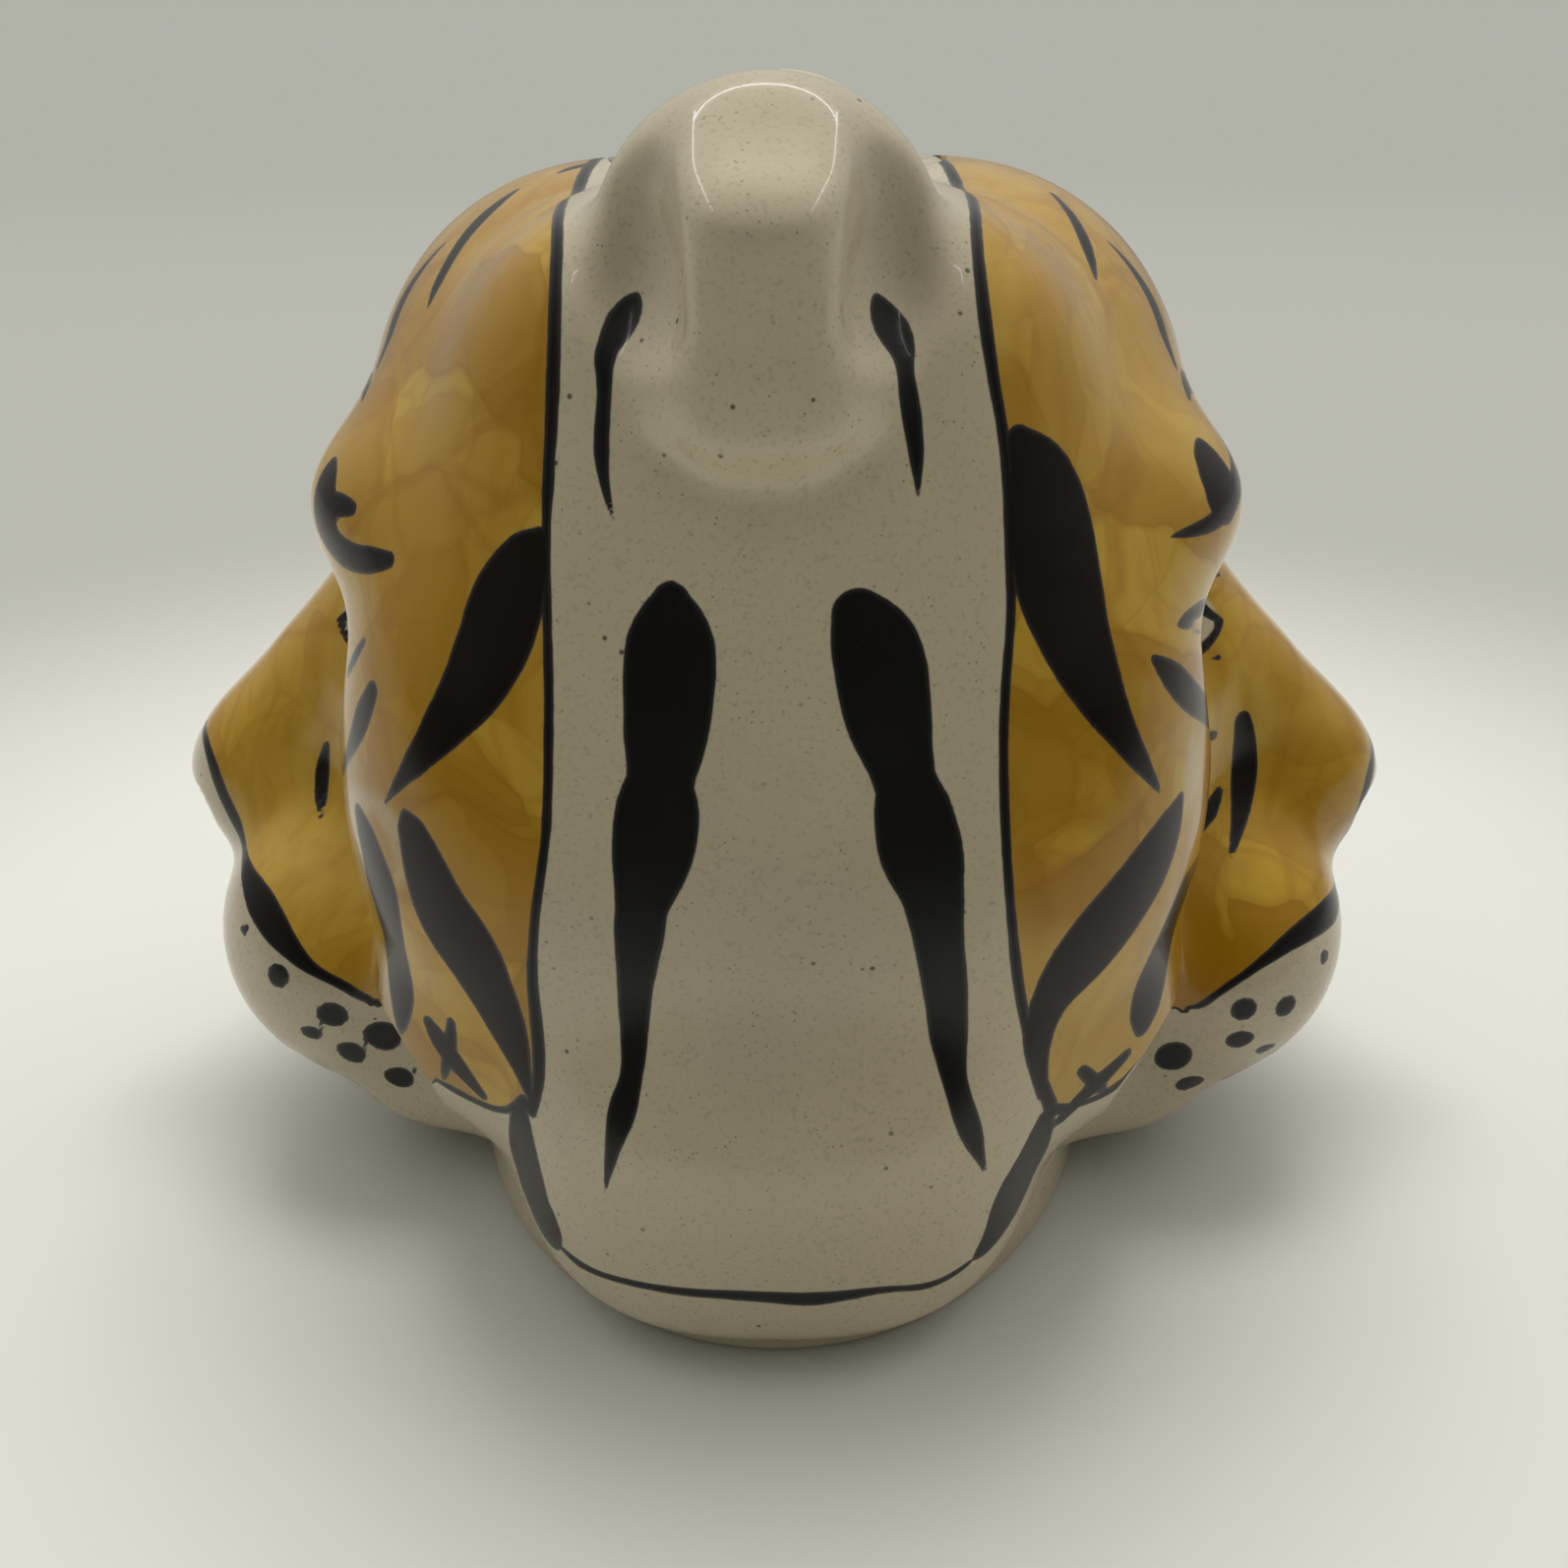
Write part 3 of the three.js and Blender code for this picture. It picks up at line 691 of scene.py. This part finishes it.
def from_edges(p):
    """Distance to the edge lines, positive inside the ochre, and the half width of the line.
    The white of an eye is cut out of the ochre, and has no line here."""
    x, y, z = p.T
    border = np.where(x < 0, border_left(z), border_right(z))
    above = np.where(
        x < 0, from_curve(np.abs(x), z, *below_left), from_curve(np.abs(x), z, *below_right)
    )
    away, width = to_chains(p, edges, False)
    wash = np.where((np.abs(x) > border) & (above > 0), away, -away)
    eye = 1 - np.hypot((np.abs(y) - EYE_MIDDLE[0]) / EYE_HALF[0], (z - EYE_MIDDLE[1]) / EYE_HALF[1])
    eye = np.minimum(eye * EYE_DEPTH, np.abs(x) - EYE_FRONT)
    return np.minimum(wash, -eye), np.where(-eye < wash, -INK_REACH, width)


def from_foot_line(p):
    """Height over the line above the foot, as a distance, and the line's half width."""
    away, width = to_chains(p, foot_lines, False)
    x, z = foot_lines[0][:, 0], foot_lines[0][:, 2]
    return np.where(p[:, 2] > np.interp(p[:, 0], x, z), away, -away), width


# %% [markdown]
# Each piece now becomes a mesh: its points, its faces, its true normals from the field's slope,
# and its paint distances. True normals keep a glaze's reflections smooth over small facets.

# %% A mesh from arrays
def make_piece(name, points, faces, normals=None, painted=False):
    """Puts points (in millimetres) and faces of 3 or 4 corners into a new object at the origin."""
    mesh = bpy.data.meshes.new(name)
    mesh.from_pydata((points * MM).tolist(), [], faces)
    mesh.polygons.foreach_set("use_smooth", np.ones(len(mesh.polygons), bool))
    if painted:
        wash, edge_width = from_edges(points)
        foot, foot_width = from_foot_line(points)
        paint = dict(
            ink=to_chains(points, strokes, True)[0], wash=wash, edge_width=edge_width,
            foot=foot, foot_width=foot_width, bare=to_chains(points, bare, True)[0],
        )
        for attribute, values in paint.items():
            layer = mesh.attributes.new(attribute, "FLOAT", "POINT")
            layer.data.foreach_set("value", values.astype(np.float32))
    mesh.validate()
    mesh.update()
    if normals is not None:
        mesh.normals_split_custom_set_from_vertices(normals.tolist())
    piece = bpy.data.objects.new(name, mesh)
    bpy.context.scene.collection.objects.link(piece)
    triangles = sum(len(p.vertices) - 2 for p in mesh.polygons)
    print(name, len(mesh.vertices), "points,", triangles, "triangles")
    return piece


def grid_faces(columns, rows, first=0, flip=False, closed=False):
    """Quads of a grid of (columns + 1) by (rows + 1) points. A closed one lacks the last column."""
    across = columns if closed else columns + 1
    i, j = np.meshgrid(np.arange(columns), np.arange(rows), indexing="ij")
    i, j = i.ravel(), j.ravel()
    k = (i + 1) % across
    row = rows + 1
    quads = np.stack([i * row + j, k * row + j, k * row + j + 1, i * row + j + 1], 1) + first
    return (quads[:, ::-1] if flip else quads).tolist()


def rim_loop(columns, rows, first=0):
    """The indices round the edge of a grid: along the mouth, down, along the foot and up."""
    at = first + np.arange((columns + 1) * (rows + 1)).reshape(columns + 1, rows + 1)
    return np.concatenate([at[:-1, 0], at[-1, :-1], at[:0:-1, -1], at[0, :0:-1]]).tolist()


def stitch(outer, inner, ratio, flip):
    """Triangles between two loops, the outer with ratio times the points of the inner."""
    faces = []
    n, m = len(outer), len(inner)
    for k in range(n):
        faces.append((outer[(k + 1) % n], outer[k], inner[k // ratio]))
        if (k + 1) % ratio == 0:
            j = k // ratio
            faces.append((outer[(k + 1) % n], inner[j], inner[(j + 1) % m]))
    return [f[::-1] for f in faces] if flip else faces


# %% The two half shells
def half_of(quarter_p, quarter_n, side):
    """The quarter and its mirror in Y, on the side of X that the sign gives."""
    p = np.concatenate([quarter_p, (quarter_p * (1, -1, 1))[-2::-1]])
    n = np.concatenate([quarter_n, (quarter_n * (1, -1, 1))[-2::-1]])
    return p * (side, 1, 1), n * (side, 1, 1)


def face_shell(name, side):
    """A half shell from its two skins, with the edge between them stitched all round."""
    outer, outer_normals = half_of(outer_p, outer_n, side)
    inner, inner_normals = half_of(inner_p, inner_n, side)
    columns, rows = 2 * AROUND, DOWN
    few_columns, few_rows = columns // COARSER, rows // COARSER
    first = outer.shape[0] * outer.shape[1]
    flip = side < 0
    faces = grid_faces(columns, rows, 0, flip)
    faces += grid_faces(few_columns, few_rows, first, not flip)
    inner_loop = rim_loop(few_columns, few_rows, first)
    faces += stitch(rim_loop(columns, rows), inner_loop, COARSER, flip)
    points = np.vstack([outer.reshape(-1, 3), inner.reshape(-1, 3)])
    normals = np.vstack([outer_normals.reshape(-1, 3), -inner_normals.reshape(-1, 3)])
    return make_piece(name, points, faces, normals, painted=True)


shell_left = face_shell("face_shell_left_glazed", -1)
shell_right = face_shell("face_shell_right_glazed", 1)

# %% [markdown]
# An ear was squeezed from a lump of clay and smoothed on to the head, so no line shows where it
# begins. Its surface is the melted union of ear and head, seen from a point inside the shoulder.
# Its skirt lies on the head's own surface and dips under it at its edge.

# %% The ears
EAR_START = (0.0, 58.0, 134.0)
EAR_AXIS = math.radians(56)  # the grid's pole leans outwards by this
EAR_SPREAD = math.radians(104)
EAR_REACH = 60.0  # farther from that start than any clay of an ear
SKIRT = 0.93  # share of the grid after which the skirt dips
LIFTED, DIPPED = 0.03, -0.5  # its height over the clay before that, and at its edge
EAR_AROUND, EAR_DOWN = 256, 150


def ear_piece(name, side):
    """A cap of rays from inside the shoulder, closed by a cone to their start."""
    turn = np.linspace(0, 2 * np.pi, EAR_AROUND, endpoint=False)
    share = np.linspace(0.004, 1, EAR_DOWN + 1)
    turn, share = np.meshgrid(turn, share, indexing="ij")
    away = share * EAR_SPREAD
    x, y, z = np.sin(away) * np.cos(turn), np.sin(away) * np.sin(turn), np.cos(away)
    c, s = math.cos(EAR_AXIS), math.sin(EAR_AXIS)
    way = np.stack([x, y * c + z * s, z * c - y * s], -1)
    start = np.array(EAR_START)
    p = outermost(head_with_ears, start, way, EAR_REACH)
    n = unit(slope_of(head_with_ears, p))
    dip = np.clip((share - SKIRT) / (1 - SKIRT), 0, 1)
    p = p + n * (LIFTED + (DIPPED - LIFTED) * dip**2)[..., None]
    points = np.vstack([p.reshape(-1, 3), start]) * (1, side, 1)
    normals = np.vstack([n.reshape(-1, 3), (0, 0, -1)]) * (1, side, 1)
    faces = grid_faces(EAR_AROUND, EAR_DOWN, 0, side > 0, closed=True)
    row = EAR_DOWN + 1
    edge = [i * row + EAR_DOWN for i in range(EAR_AROUND)]
    tip = [i * row for i in range(EAR_AROUND)]
    middle = len(points) - 1
    cone = [(a, b, middle) for a, b in zip(edge, edge[1:] + edge[:1])]
    faces += [f if side < 0 else f[::-1] for f in cone]
    faces.append(tip if side > 0 else tip[::-1])
    return make_piece(name, points, faces, normals, painted=True)


ear_near = ear_piece("ear_near_glazed", -1)
ear_far = ear_piece("ear_far_glazed", 1)

# %% [markdown]
# The rim and the foot are rings turned on the wheel. The foot was then squeezed to an oval.

# %% Rings from a profile
RING_AROUND = 256


def ring(name, profile, stretch=(1.0, 1.0)):
    """Turns a closed profile of (radius, height) about Z and stretches it to an oval."""
    turn = np.linspace(0, 2 * np.pi, RING_AROUND, endpoint=False)
    r, z = np.array(profile + profile[:1]).T
    p = np.stack(
        [np.outer(np.cos(turn), r) * stretch[0], np.outer(np.sin(turn), r) * stretch[1],
         np.tile(z, (RING_AROUND, 1))], -1,
    )
    rows = len(profile)
    i, j = np.divmod(np.arange(RING_AROUND * rows), rows)
    k, m = (i + 1) % RING_AROUND, (j + 1) % rows
    faces = np.stack([i * rows + j, k * rows + j, k * rows + m, i * rows + m], 1)
    return make_piece(name, p[:, :-1].reshape(-1, 3), faces.tolist())


def arc(centre, radius, start, end, steps=8):
    """Points of a round corner in the profile's plane, angles in degrees."""
    a = np.radians(np.linspace(start, end, steps + 1))
    return [(centre[0] + radius * math.cos(t), centre[1] + radius * math.sin(t)) for t in a]


def line(a, b, steps=10):
    """Points between two ends of the profile, without the ends."""
    return [
        (a[0] + (b[0] - a[0]) * t / steps, a[1] + (b[1] - a[1]) * t / steps)
        for t in range(1, steps)
    ]


RIM_ROUND, RIM_EDGE = 2.2, 1.0  # the rounding of the lip, and of the hidden lower end
RIM_DEPTH = 14.0
inner_r, outer_r = MOUTH_RADIUS, MOUTH_RADIUS + RIM_WALL
rim_profile = (
    arc((inner_r + RIM_ROUND, RIM_TOP - RIM_ROUND), RIM_ROUND, 180, 90)
    + arc((outer_r - RIM_ROUND, RIM_TOP - RIM_ROUND), RIM_ROUND, 90, 0)
    + line((outer_r, RIM_TOP - RIM_ROUND), (outer_r, RIM_TOP - RIM_DEPTH))
    + arc((outer_r - RIM_EDGE, RIM_TOP - RIM_DEPTH + RIM_EDGE), RIM_EDGE, 0, -90, 3)
    + arc((inner_r + RIM_EDGE, RIM_TOP - RIM_DEPTH + RIM_EDGE), RIM_EDGE, -90, -180, 3)
)
mouth_rim = ring("mouth_rim_glazed", rim_profile)

FOOT_ROUND = 1.4
foot_r = FOOT_HALF[0]
foot_inner = foot_r - FOOT_WALL
foot_profile = (
    arc((foot_r - FOOT_ROUND, FOOT_ROUND), FOOT_ROUND, 0, -90)
    + line((foot_r - FOOT_ROUND, 0), (foot_inner + FOOT_ROUND, 0), 4)
    + arc((foot_inner + FOOT_ROUND, FOOT_ROUND), FOOT_ROUND, -90, -180)
    + line((foot_inner, FOOT_ROUND), (foot_inner, FOOT_HEIGHT), 4)
    + [(foot_inner, FOOT_HEIGHT)]
    + line((foot_inner, FOOT_HEIGHT), (foot_r, FOOT_HEIGHT), 4)
    + [(foot_r, FOOT_HEIGHT)]
    + line((foot_r, FOOT_HEIGHT), (foot_r, FOOT_ROUND), 6)
)
foot_ring = ring("foot_ring_glazed", foot_profile, (1.0, FOOT_HALF[1] / FOOT_HALF[0]))

# %% [markdown]
# The glaze is one clear coat over colours that were brushed on. Ochre was washed on in overlapping
# patches, the ink went on last, and the bare cream clay body shows specks of iron.
# A small wrapper turns sums and products of sockets into Math nodes, so a mask reads as a formula.

# %% Sockets that can be added and multiplied
class Wire:
    """A number socket with arithmetic: an expression on it adds its Math nodes."""

    def __init__(self, tree, socket):
        self.tree = tree
        self.socket = socket

    def _math(self, operation, *values):
        return self.tree.node("ShaderNodeMath", dict(operation=operation), dict(enumerate(values)))

    def __add__(self, other):
        return self._math("ADD", self, other)

    __radd__ = __add__

    def __sub__(self, other):
        return self._math("SUBTRACT", self, other)

    def __rsub__(self, other):
        return self._math("SUBTRACT", other, self)

    def __mul__(self, other):
        return self._math("MULTIPLY", self, other)

    __rmul__ = __mul__

    def size(self):
        return self._math("ABSOLUTE", self)

    def least(self, other):
        return self._math("MINIMUM", self, other)

    def ramp(self, low, high):
        """0 at low and 1 at high, smooth between."""
        return self.tree.node(
            "ShaderNodeMapRange", dict(interpolation_type="SMOOTHSTEP", clamp=True),
            {"Value": self, "From Min": low, "From Max": high},
        )


class Tree:
    """The node tree of a material or a world, with one way to add any node."""

    def __init__(self, name, kind=bpy.data.materials, output="ShaderNodeOutputMaterial"):
        self.owner = kind.new(name)
        self.owner.use_nodes = True
        self.nodes = self.owner.node_tree.nodes
        self.links = self.owner.node_tree.links
        self.nodes.clear()
        self.output = self.nodes.new(output)

    def node(self, kind, settings=None, sockets=None, out=0):
        made = self.nodes.new(kind)
        for name, value in (settings or {}).items():
            setattr(made, name, value)
        for key, value in (sockets or {}).items():
            socket = made.inputs[key]
            if isinstance(value, Wire):
                self.links.new(value.socket, socket)
            else:
                socket.default_value = value
        return Wire(self, made.outputs[out])

    def mix(self, share, a, b):
        """Mixes two colours. Sockets 0, 6 and 7 are the factor and the colours."""
        sockets = {0: share, 6: a, 7: b}
        return self.node("ShaderNodeMix", dict(data_type="RGBA"), sockets, out=2)

    def noise(self, where, scale, detail=2.0, warp=0.0, out=0):
        sockets = {"Vector": where, "Scale": scale, "Detail": detail, "Distortion": warp}
        return self.node("ShaderNodeTexNoise", None, sockets, out)

    def cells(self, where, scale, feature="F1", out="Distance"):
        sockets = {"Vector": where, "Scale": scale}
        return self.node("ShaderNodeTexVoronoi", dict(feature=feature), sockets, out)

    def vector(self, operation, *values, out=0):
        settings = dict(operation=operation)
        return self.node("ShaderNodeVectorMath", settings, dict(enumerate(values)), out)

    def along(self, vector, axis):
        return self.node("ShaderNodeSeparateXYZ", None, {0: vector}, axis)

    def attribute(self, name):
        return self.node("ShaderNodeAttribute", dict(attribute_name=name), out="Fac")

    def finish(self, sockets, shader="ShaderNodeBsdfPrincipled"):
        made = self.node(shader, None, sockets)
        self.links.new(made.socket, self.output.inputs["Surface"])
        return self.owner


def colour(red, green, blue):
    """A colour as the eye names it, 0 to 255, turned linear."""
    c = np.array([red, green, blue]) / 255
    linear = np.where(c <= 0.04045, c / 12.92, ((c + 0.055) / 1.055) ** 2.4)
    return (*linear.tolist(), 1.0)


# %% The glazes
CREAM = colour(194, 184, 155)
CREAM_GREY = colour(182, 172, 146)
CREAM_WARM = colour(197, 184, 150)
SPECK = colour(70, 60, 48)
OCHRE_PALE = colour(196, 163, 74)
OCHRE = colour(190, 151, 42)
OCHRE_DEEP = colour(155, 109, 5)
ORANGE = colour(186, 129, 36)
INK = colour(6, 6, 8)
INK_THIN = colour(40, 42, 48)
CLAY = colour(176, 166, 142)
CLAY_DARK = colour(150, 138, 114)
GLOSS = 0.45  # weight of the clear coat
INK_GLOSS = 0.12  # the iron ink burns the glaze thin
LAYOUTS = ((30.0, 0.8), (47.0, 0.6), (74.0, 0.4))  # scale and strength of the ochre's patches
BENT_BY = (0.03, 0.03, 0.03)  # metres by which a noise bends their outlines
DRAWN_OUT = (1.0, 1.0, 0.25)  # the brush was drawn up and down


def dots(t, where, scale, fade, patches, shown):
    """Round dots, each gone at the first distance and full at the second, that lie in patches."""
    return t.cells(where, scale).ramp(*fade) * t.noise(where, patches, 1).ramp(*shown)


def cream_ground(t, where):
    """Warm cream with soft clouds and specks of two sizes."""
    clouds = t.noise(where, 22, 3).ramp(0.35, 0.7)
    ground = t.mix(clouds, CREAM, CREAM_GREY)
    warm = t.noise(where, 9, 2).ramp(0.45, 0.75) * 0.6
    ground = t.mix(warm, ground, CREAM_WARM)
    grain = t.noise(where, 1400, 2).ramp(0.52, 0.72)
    ground = t.mix(grain * 0.16, ground, SPECK)
    dust = dots(t, where, 900, (0.2, 0.08), 300, (0.45, 0.6))
    ground = t.mix(dust * 0.5, ground, SPECK)
    specks = dots(t, where, 230, (0.1, 0.05), 60, (0.42, 0.55))
    return t.mix(specks * 0.85, ground, SPECK)


def ochre_wash(t, where):
    """Overlapping washes: each cell of three warped layouts has its own strength and a darker
    edge, and clouds of orange and of pale ochre lie over them. The crown is the palest."""
    bent = t.vector("MULTIPLY_ADD", t.noise(where, 24, 3, out="Color"), BENT_BY, where)
    wash = t.mix(t.along(where, "Z").ramp(0.07, 0.145) * 0.5, OCHRE, OCHRE_PALE)
    for scale, share in LAYOUTS:
        tone = t.cells(bent, scale, out="Color")
        strength = t.node("ShaderNodeSeparateColor", None, {0: tone}, out="Red").ramp(0.35, 0.9)
        wash = t.mix(strength * share, wash, OCHRE_DEEP)
        pooled = t.cells(bent, scale, feature="DISTANCE_TO_EDGE").ramp(0.05, 0.0)
        wash = t.mix(pooled * share * 0.55, wash, OCHRE_DEEP)
    wash = t.mix(t.noise(where, 19, 3, warp=1.2).ramp(0.5, 0.66) * 0.2, wash, ORANGE)
    wash = t.mix(t.noise(bent, 30, 2).ramp(0.5, 0.66) * 0.6, wash, OCHRE_PALE)
    streaks = t.noise(t.vector("MULTIPLY", bent, DRAWN_OUT), 260, 3).ramp(0.45, 0.75)
    return t.mix(streaks * 0.32, wash, OCHRE_DEEP)


def glaze(name, painted):
    """Cream under a clear coat. On a painted piece the ochre and the ink lie over the cream."""
    t = Tree(name)
    where = t.node("ShaderNodeTexCoord", out="Object")
    ground = cream_ground(t, where)
    gloss = GLOSS
    if painted:
        tremble = (t.noise(where, 260, 2) - 0.5) * 0.7
        wash_share = (t.attribute("wash") + tremble).ramp(-0.3, 0.3)
        thin = (t.attribute("bare") + tremble * 4).ramp(1.6, -1.6) * 0.5
        ground = t.mix(wash_share * (1 - thin), ground, ochre_wash(t, where))
        ink = t.attribute("ink")
        for side, width in (("wash", "edge_width"), ("foot", "foot_width")):
            ink = ink.least(t.attribute(side).size() - t.attribute(width))
        ink = ink + tremble * 0.4
        covered = ink.ramp(0.16, -0.12)
        thick = ink.ramp(0.05, -0.75)
        mottle = t.noise(where, 70, 3).ramp(0.3, 0.75) * 0.35
        body = t.mix(thick * (1 - mottle * 0.3), INK_THIN, INK)
        ground = t.mix(covered * 0.985, ground, body)
        gloss = GLOSS - thick * (GLOSS - INK_GLOSS)
    height = t.noise(where, 55, 3) + t.noise(where, 420, 2) * 0.05
    sockets = {"Strength": 0.25, "Distance": 0.0006, "Height": height}
    ripples = t.node("ShaderNodeBump", None, sockets)
    pits = dots(t, where, 420, (0.05, 0.02), 90, (0.5, 0.62))
    rough = 0.2 + t.noise(where, 120, 2) * 0.08 + pits * 0.3
    return t.finish({
        "Base Color": ground, "Roughness": rough, "Normal": ripples, "IOR": 1.5,
        "Specular IOR Level": 0.2, "Coat Weight": gloss, "Coat Roughness": 0.04,
    })


def bare_clay():
    """The unglazed clay of the floor: dull, clouded and gritty."""
    t = Tree("bare_clay")
    where = t.node("ShaderNodeTexCoord", out="Object")
    ground = t.mix(t.noise(where, 60, 4).ramp(0.35, 0.7), CLAY, CLAY_DARK)
    grit = dots(t, where, 500, (0.14, 0.05), 140, (0.45, 0.6))
    ground = t.mix(grit * 0.6, ground, SPECK)
    height = t.noise(where, 700, 3) + grit * 0.5
    bump = t.node("ShaderNodeBump", None, {"Strength": 0.4, "Distance": 0.0004, "Height": height})
    return t.finish({"Base Color": ground, "Roughness": 0.75 - grit * 0.1, "Normal": bump})


painted_glaze = glaze("painted_glaze", True)
cream_glaze = glaze("cream_glaze", False)
clay = bare_clay()

# %% Dress the pieces, hang them on the body and hide the CAD nodes that they stand for
BODY = "root"
for piece, node, slot, material in (
    (shell_left, "face_shell_left", "painted_ochre_glaze", painted_glaze),
    (shell_right, "face_shell_right", "painted_ochre_glaze", painted_glaze),
    (ear_near, "ear_near", "cream_glaze", painted_glaze),
    (ear_far, "ear_far", "cream_glaze", painted_glaze),
    (mouth_rim, "mouth_rim", "cream_glaze", cream_glaze),
    (foot_ring, "foot_ring", "cream_glaze", cream_glaze),
):
    piece.data.materials.append(material)
    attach(piece, BODY)
    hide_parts(node)
floor_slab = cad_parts["floor_slab"]
for slot in floor_slab.material_slots:
    slot.material = clay

# %% [markdown]
# The photograph was taken in a small white tent: a pale sheet lies under the vase, soft light
# falls from above and behind, and the near side lies in the room's shade.
# A wall would hide the vase from behind, so the floor is one wide disc instead. With the distance
# from the vase, what the camera sees of it turns into painted shade: the grey of the tent's wall,
# where less light fell.

# %% The floor
FLOOR_REACH = 6.0  # metres
FLOOR_AROUND, FLOOR_RINGS = 96, 24
PAPER, PAPER_PALE = colour(219, 219, 212), colour(223, 223, 216)
NEAR_SHADE = colour(50, 49, 46)  # the unlit room before the tent, which only the glaze mirrors
# Painted shade: the grey of the tent's white wall, darker farther off, where less light fell on it.
WALL_SHADE, WALL_SHADE_FAR = colour(186, 186, 177), colour(177, 178, 169)


def floor_disc():
    """Rings of points, closer to each other near the vase: radius = reach times share cubed."""
    turn = np.linspace(0, 2 * np.pi, FLOOR_AROUND, endpoint=False)
    radius = FLOOR_REACH / MM * np.linspace(0.1, 1, FLOOR_RINGS) ** 3
    turn, radius = np.meshgrid(turn, radius, indexing="ij")
    p = np.stack([np.cos(turn) * radius, np.sin(turn) * radius, np.zeros_like(turn)], -1)
    faces = grid_faces(FLOOR_AROUND, FLOOR_RINGS - 1, 0, True, closed=True)
    faces.append([i * FLOOR_RINGS for i in range(FLOOR_AROUND)])
    return make_piece("floor", p.reshape(-1, 3), faces)


def paper():
    """White paper near the vase, painted dark before it for the glaze's mirror only. Far from it,
    and only for the camera, it glows with the wall's painted shade.
    """
    t = Tree("paper")
    where = t.node("ShaderNodeTexCoord", out="Object")
    seen = t.node("ShaderNodeLightPath", out="Is Camera Ray")
    mirrored = t.node("ShaderNodeLightPath", out="Is Glossy Ray")
    white = t.mix(t.noise(where, 3, 2).ramp(0.3, 0.7), PAPER, PAPER_PALE)
    # Painted reflection: for glossy rays the paper before the vase is painted dark, as the unlit
    # room and whoever stands there.
    white = t.mix(t.along(where, "Y").ramp(-0.12, -0.24) * mirrored, white, NEAR_SHADE)
    away = t.vector("LENGTH", where, out="Value")
    lit = t.node("ShaderNodeBsdfPrincipled", None, {"Base Color": white, "Roughness": 0.8})
    # Far from the vase the camera sees the wall's painted shade, as a glow.
    grey = t.mix(away.ramp(0.6, 3.0), WALL_SHADE, WALL_SHADE_FAR)
    wall = t.node("ShaderNodeEmission", None, {"Color": grey})
    return t.finish({0: away.ramp(0.15, 0.44) * seen, 1: lit, 2: wall}, "ShaderNodeMixShader")


floor = floor_disc()
floor.data.materials.append(paper())

# %% The light of the tent: bright above and behind, dim on the near side
ROOM_TINT = (1.0, 0.985, 0.94, 1.0)
ROOM_DIM = 0.055  # strength of the world on the near, low side, but not in the glaze's mirror
ROOM_BRIGHT = 0.72  # what is added above, behind the vase
ROOM_SIDES = 0.26  # and straight to the left and right
UP_SHARE, BACK_SHARE = 0.85, 0.52  # the way in which the room grows brighter
MIRRORED_LESS = 0.35  # by which the room is weaker in the glaze's mirror


def tent_world():
    """The strength rises with the height and the depth of the way that a ray leaves by, and with
    the square of X. Mirrored in the glaze, the near side is dark, as whoever stands there is."""
    t = Tree("tent", bpy.data.worlds, "ShaderNodeOutputWorld")
    way = t.node("ShaderNodeTexCoord", out="Generated")
    rise = t.vector("DOT_PRODUCT", way, (0.0, BACK_SHARE, UP_SHARE), out="Value")
    aside = t.along(way, "X")
    mirrored = t.node("ShaderNodeLightPath", out="Is Glossy Ray")
    seen = t.node("ShaderNodeLightPath", out="Is Camera Ray")
    above = ROOM_BRIGHT * rise.ramp(-0.1, 1.0) + ROOM_SIDES * aside * aside
    strength = above * (1 - mirrored * MIRRORED_LESS) + ROOM_DIM * (1 - mirrored)
    # Camera rays see the wall's painted shade as the background.
    sockets = {"Color": t.mix(seen, ROOM_TINT, WALL_SHADE_FAR), "Strength": strength * (1 - seen) + seen}
    return t.finish(sockets, "ShaderNodeBackground")


bpy.context.scene.world = tent_world()


def soft_lamp(name, place, aim, size, power, mirrored=True):
    """A rectangle of light. One that is not mirrored gives no highlight on the glaze."""
    lamp = bpy.data.lights.new(name, "AREA")
    lamp.shape = "RECTANGLE"
    lamp.size, lamp.size_y = size
    lamp.energy = power
    holder = bpy.data.objects.new(name, lamp)
    holder.location = place
    holder.visible_glossy = mirrored
    holder.rotation_euler = (Vector(aim) - Vector(place)).to_track_quat("-Z", "Y").to_euler()
    bpy.context.scene.collection.objects.link(holder)


soft_lamp("tent_top", (0, 0.24, 1.08), (0, 0, 0.1), (0.7, 0.36), 6.4, mirrored=False)
STRIP_WIDE = 0.015
for name, place, long, power in (
    ("strip_back", (0, 0.2, 0.54), 0.5, 0.2),
    ("strip_left", (-0.24, 0.02, 0.5), 0.4, 0.12),
    ("strip_right", (0.24, 0.02, 0.5), 0.4, 0.12),
):
    soft_lamp(name, place, (0, 0, 0.1), (long, STRIP_WIDE), power)

# %% The camera
camera = bpy.data.cameras.new("photo_camera")
camera.lens = LENS
camera.sensor_width = SENSOR
camera.sensor_fit = "HORIZONTAL"
camera.clip_start = 0.01
viewer = bpy.data.objects.new("photo_camera", camera)
turn = Matrix([right, up, -forward]).transposed().to_4x4()
viewer.matrix_world = Matrix.Translation(Vector(eye_place * MM)) @ turn
bpy.context.scene.collection.objects.link(viewer)
bpy.context.scene.camera = viewer
bpy.context.scene.view_settings.view_transform = "Standard"

# %% Update the scene
bpy.context.view_layer.update()
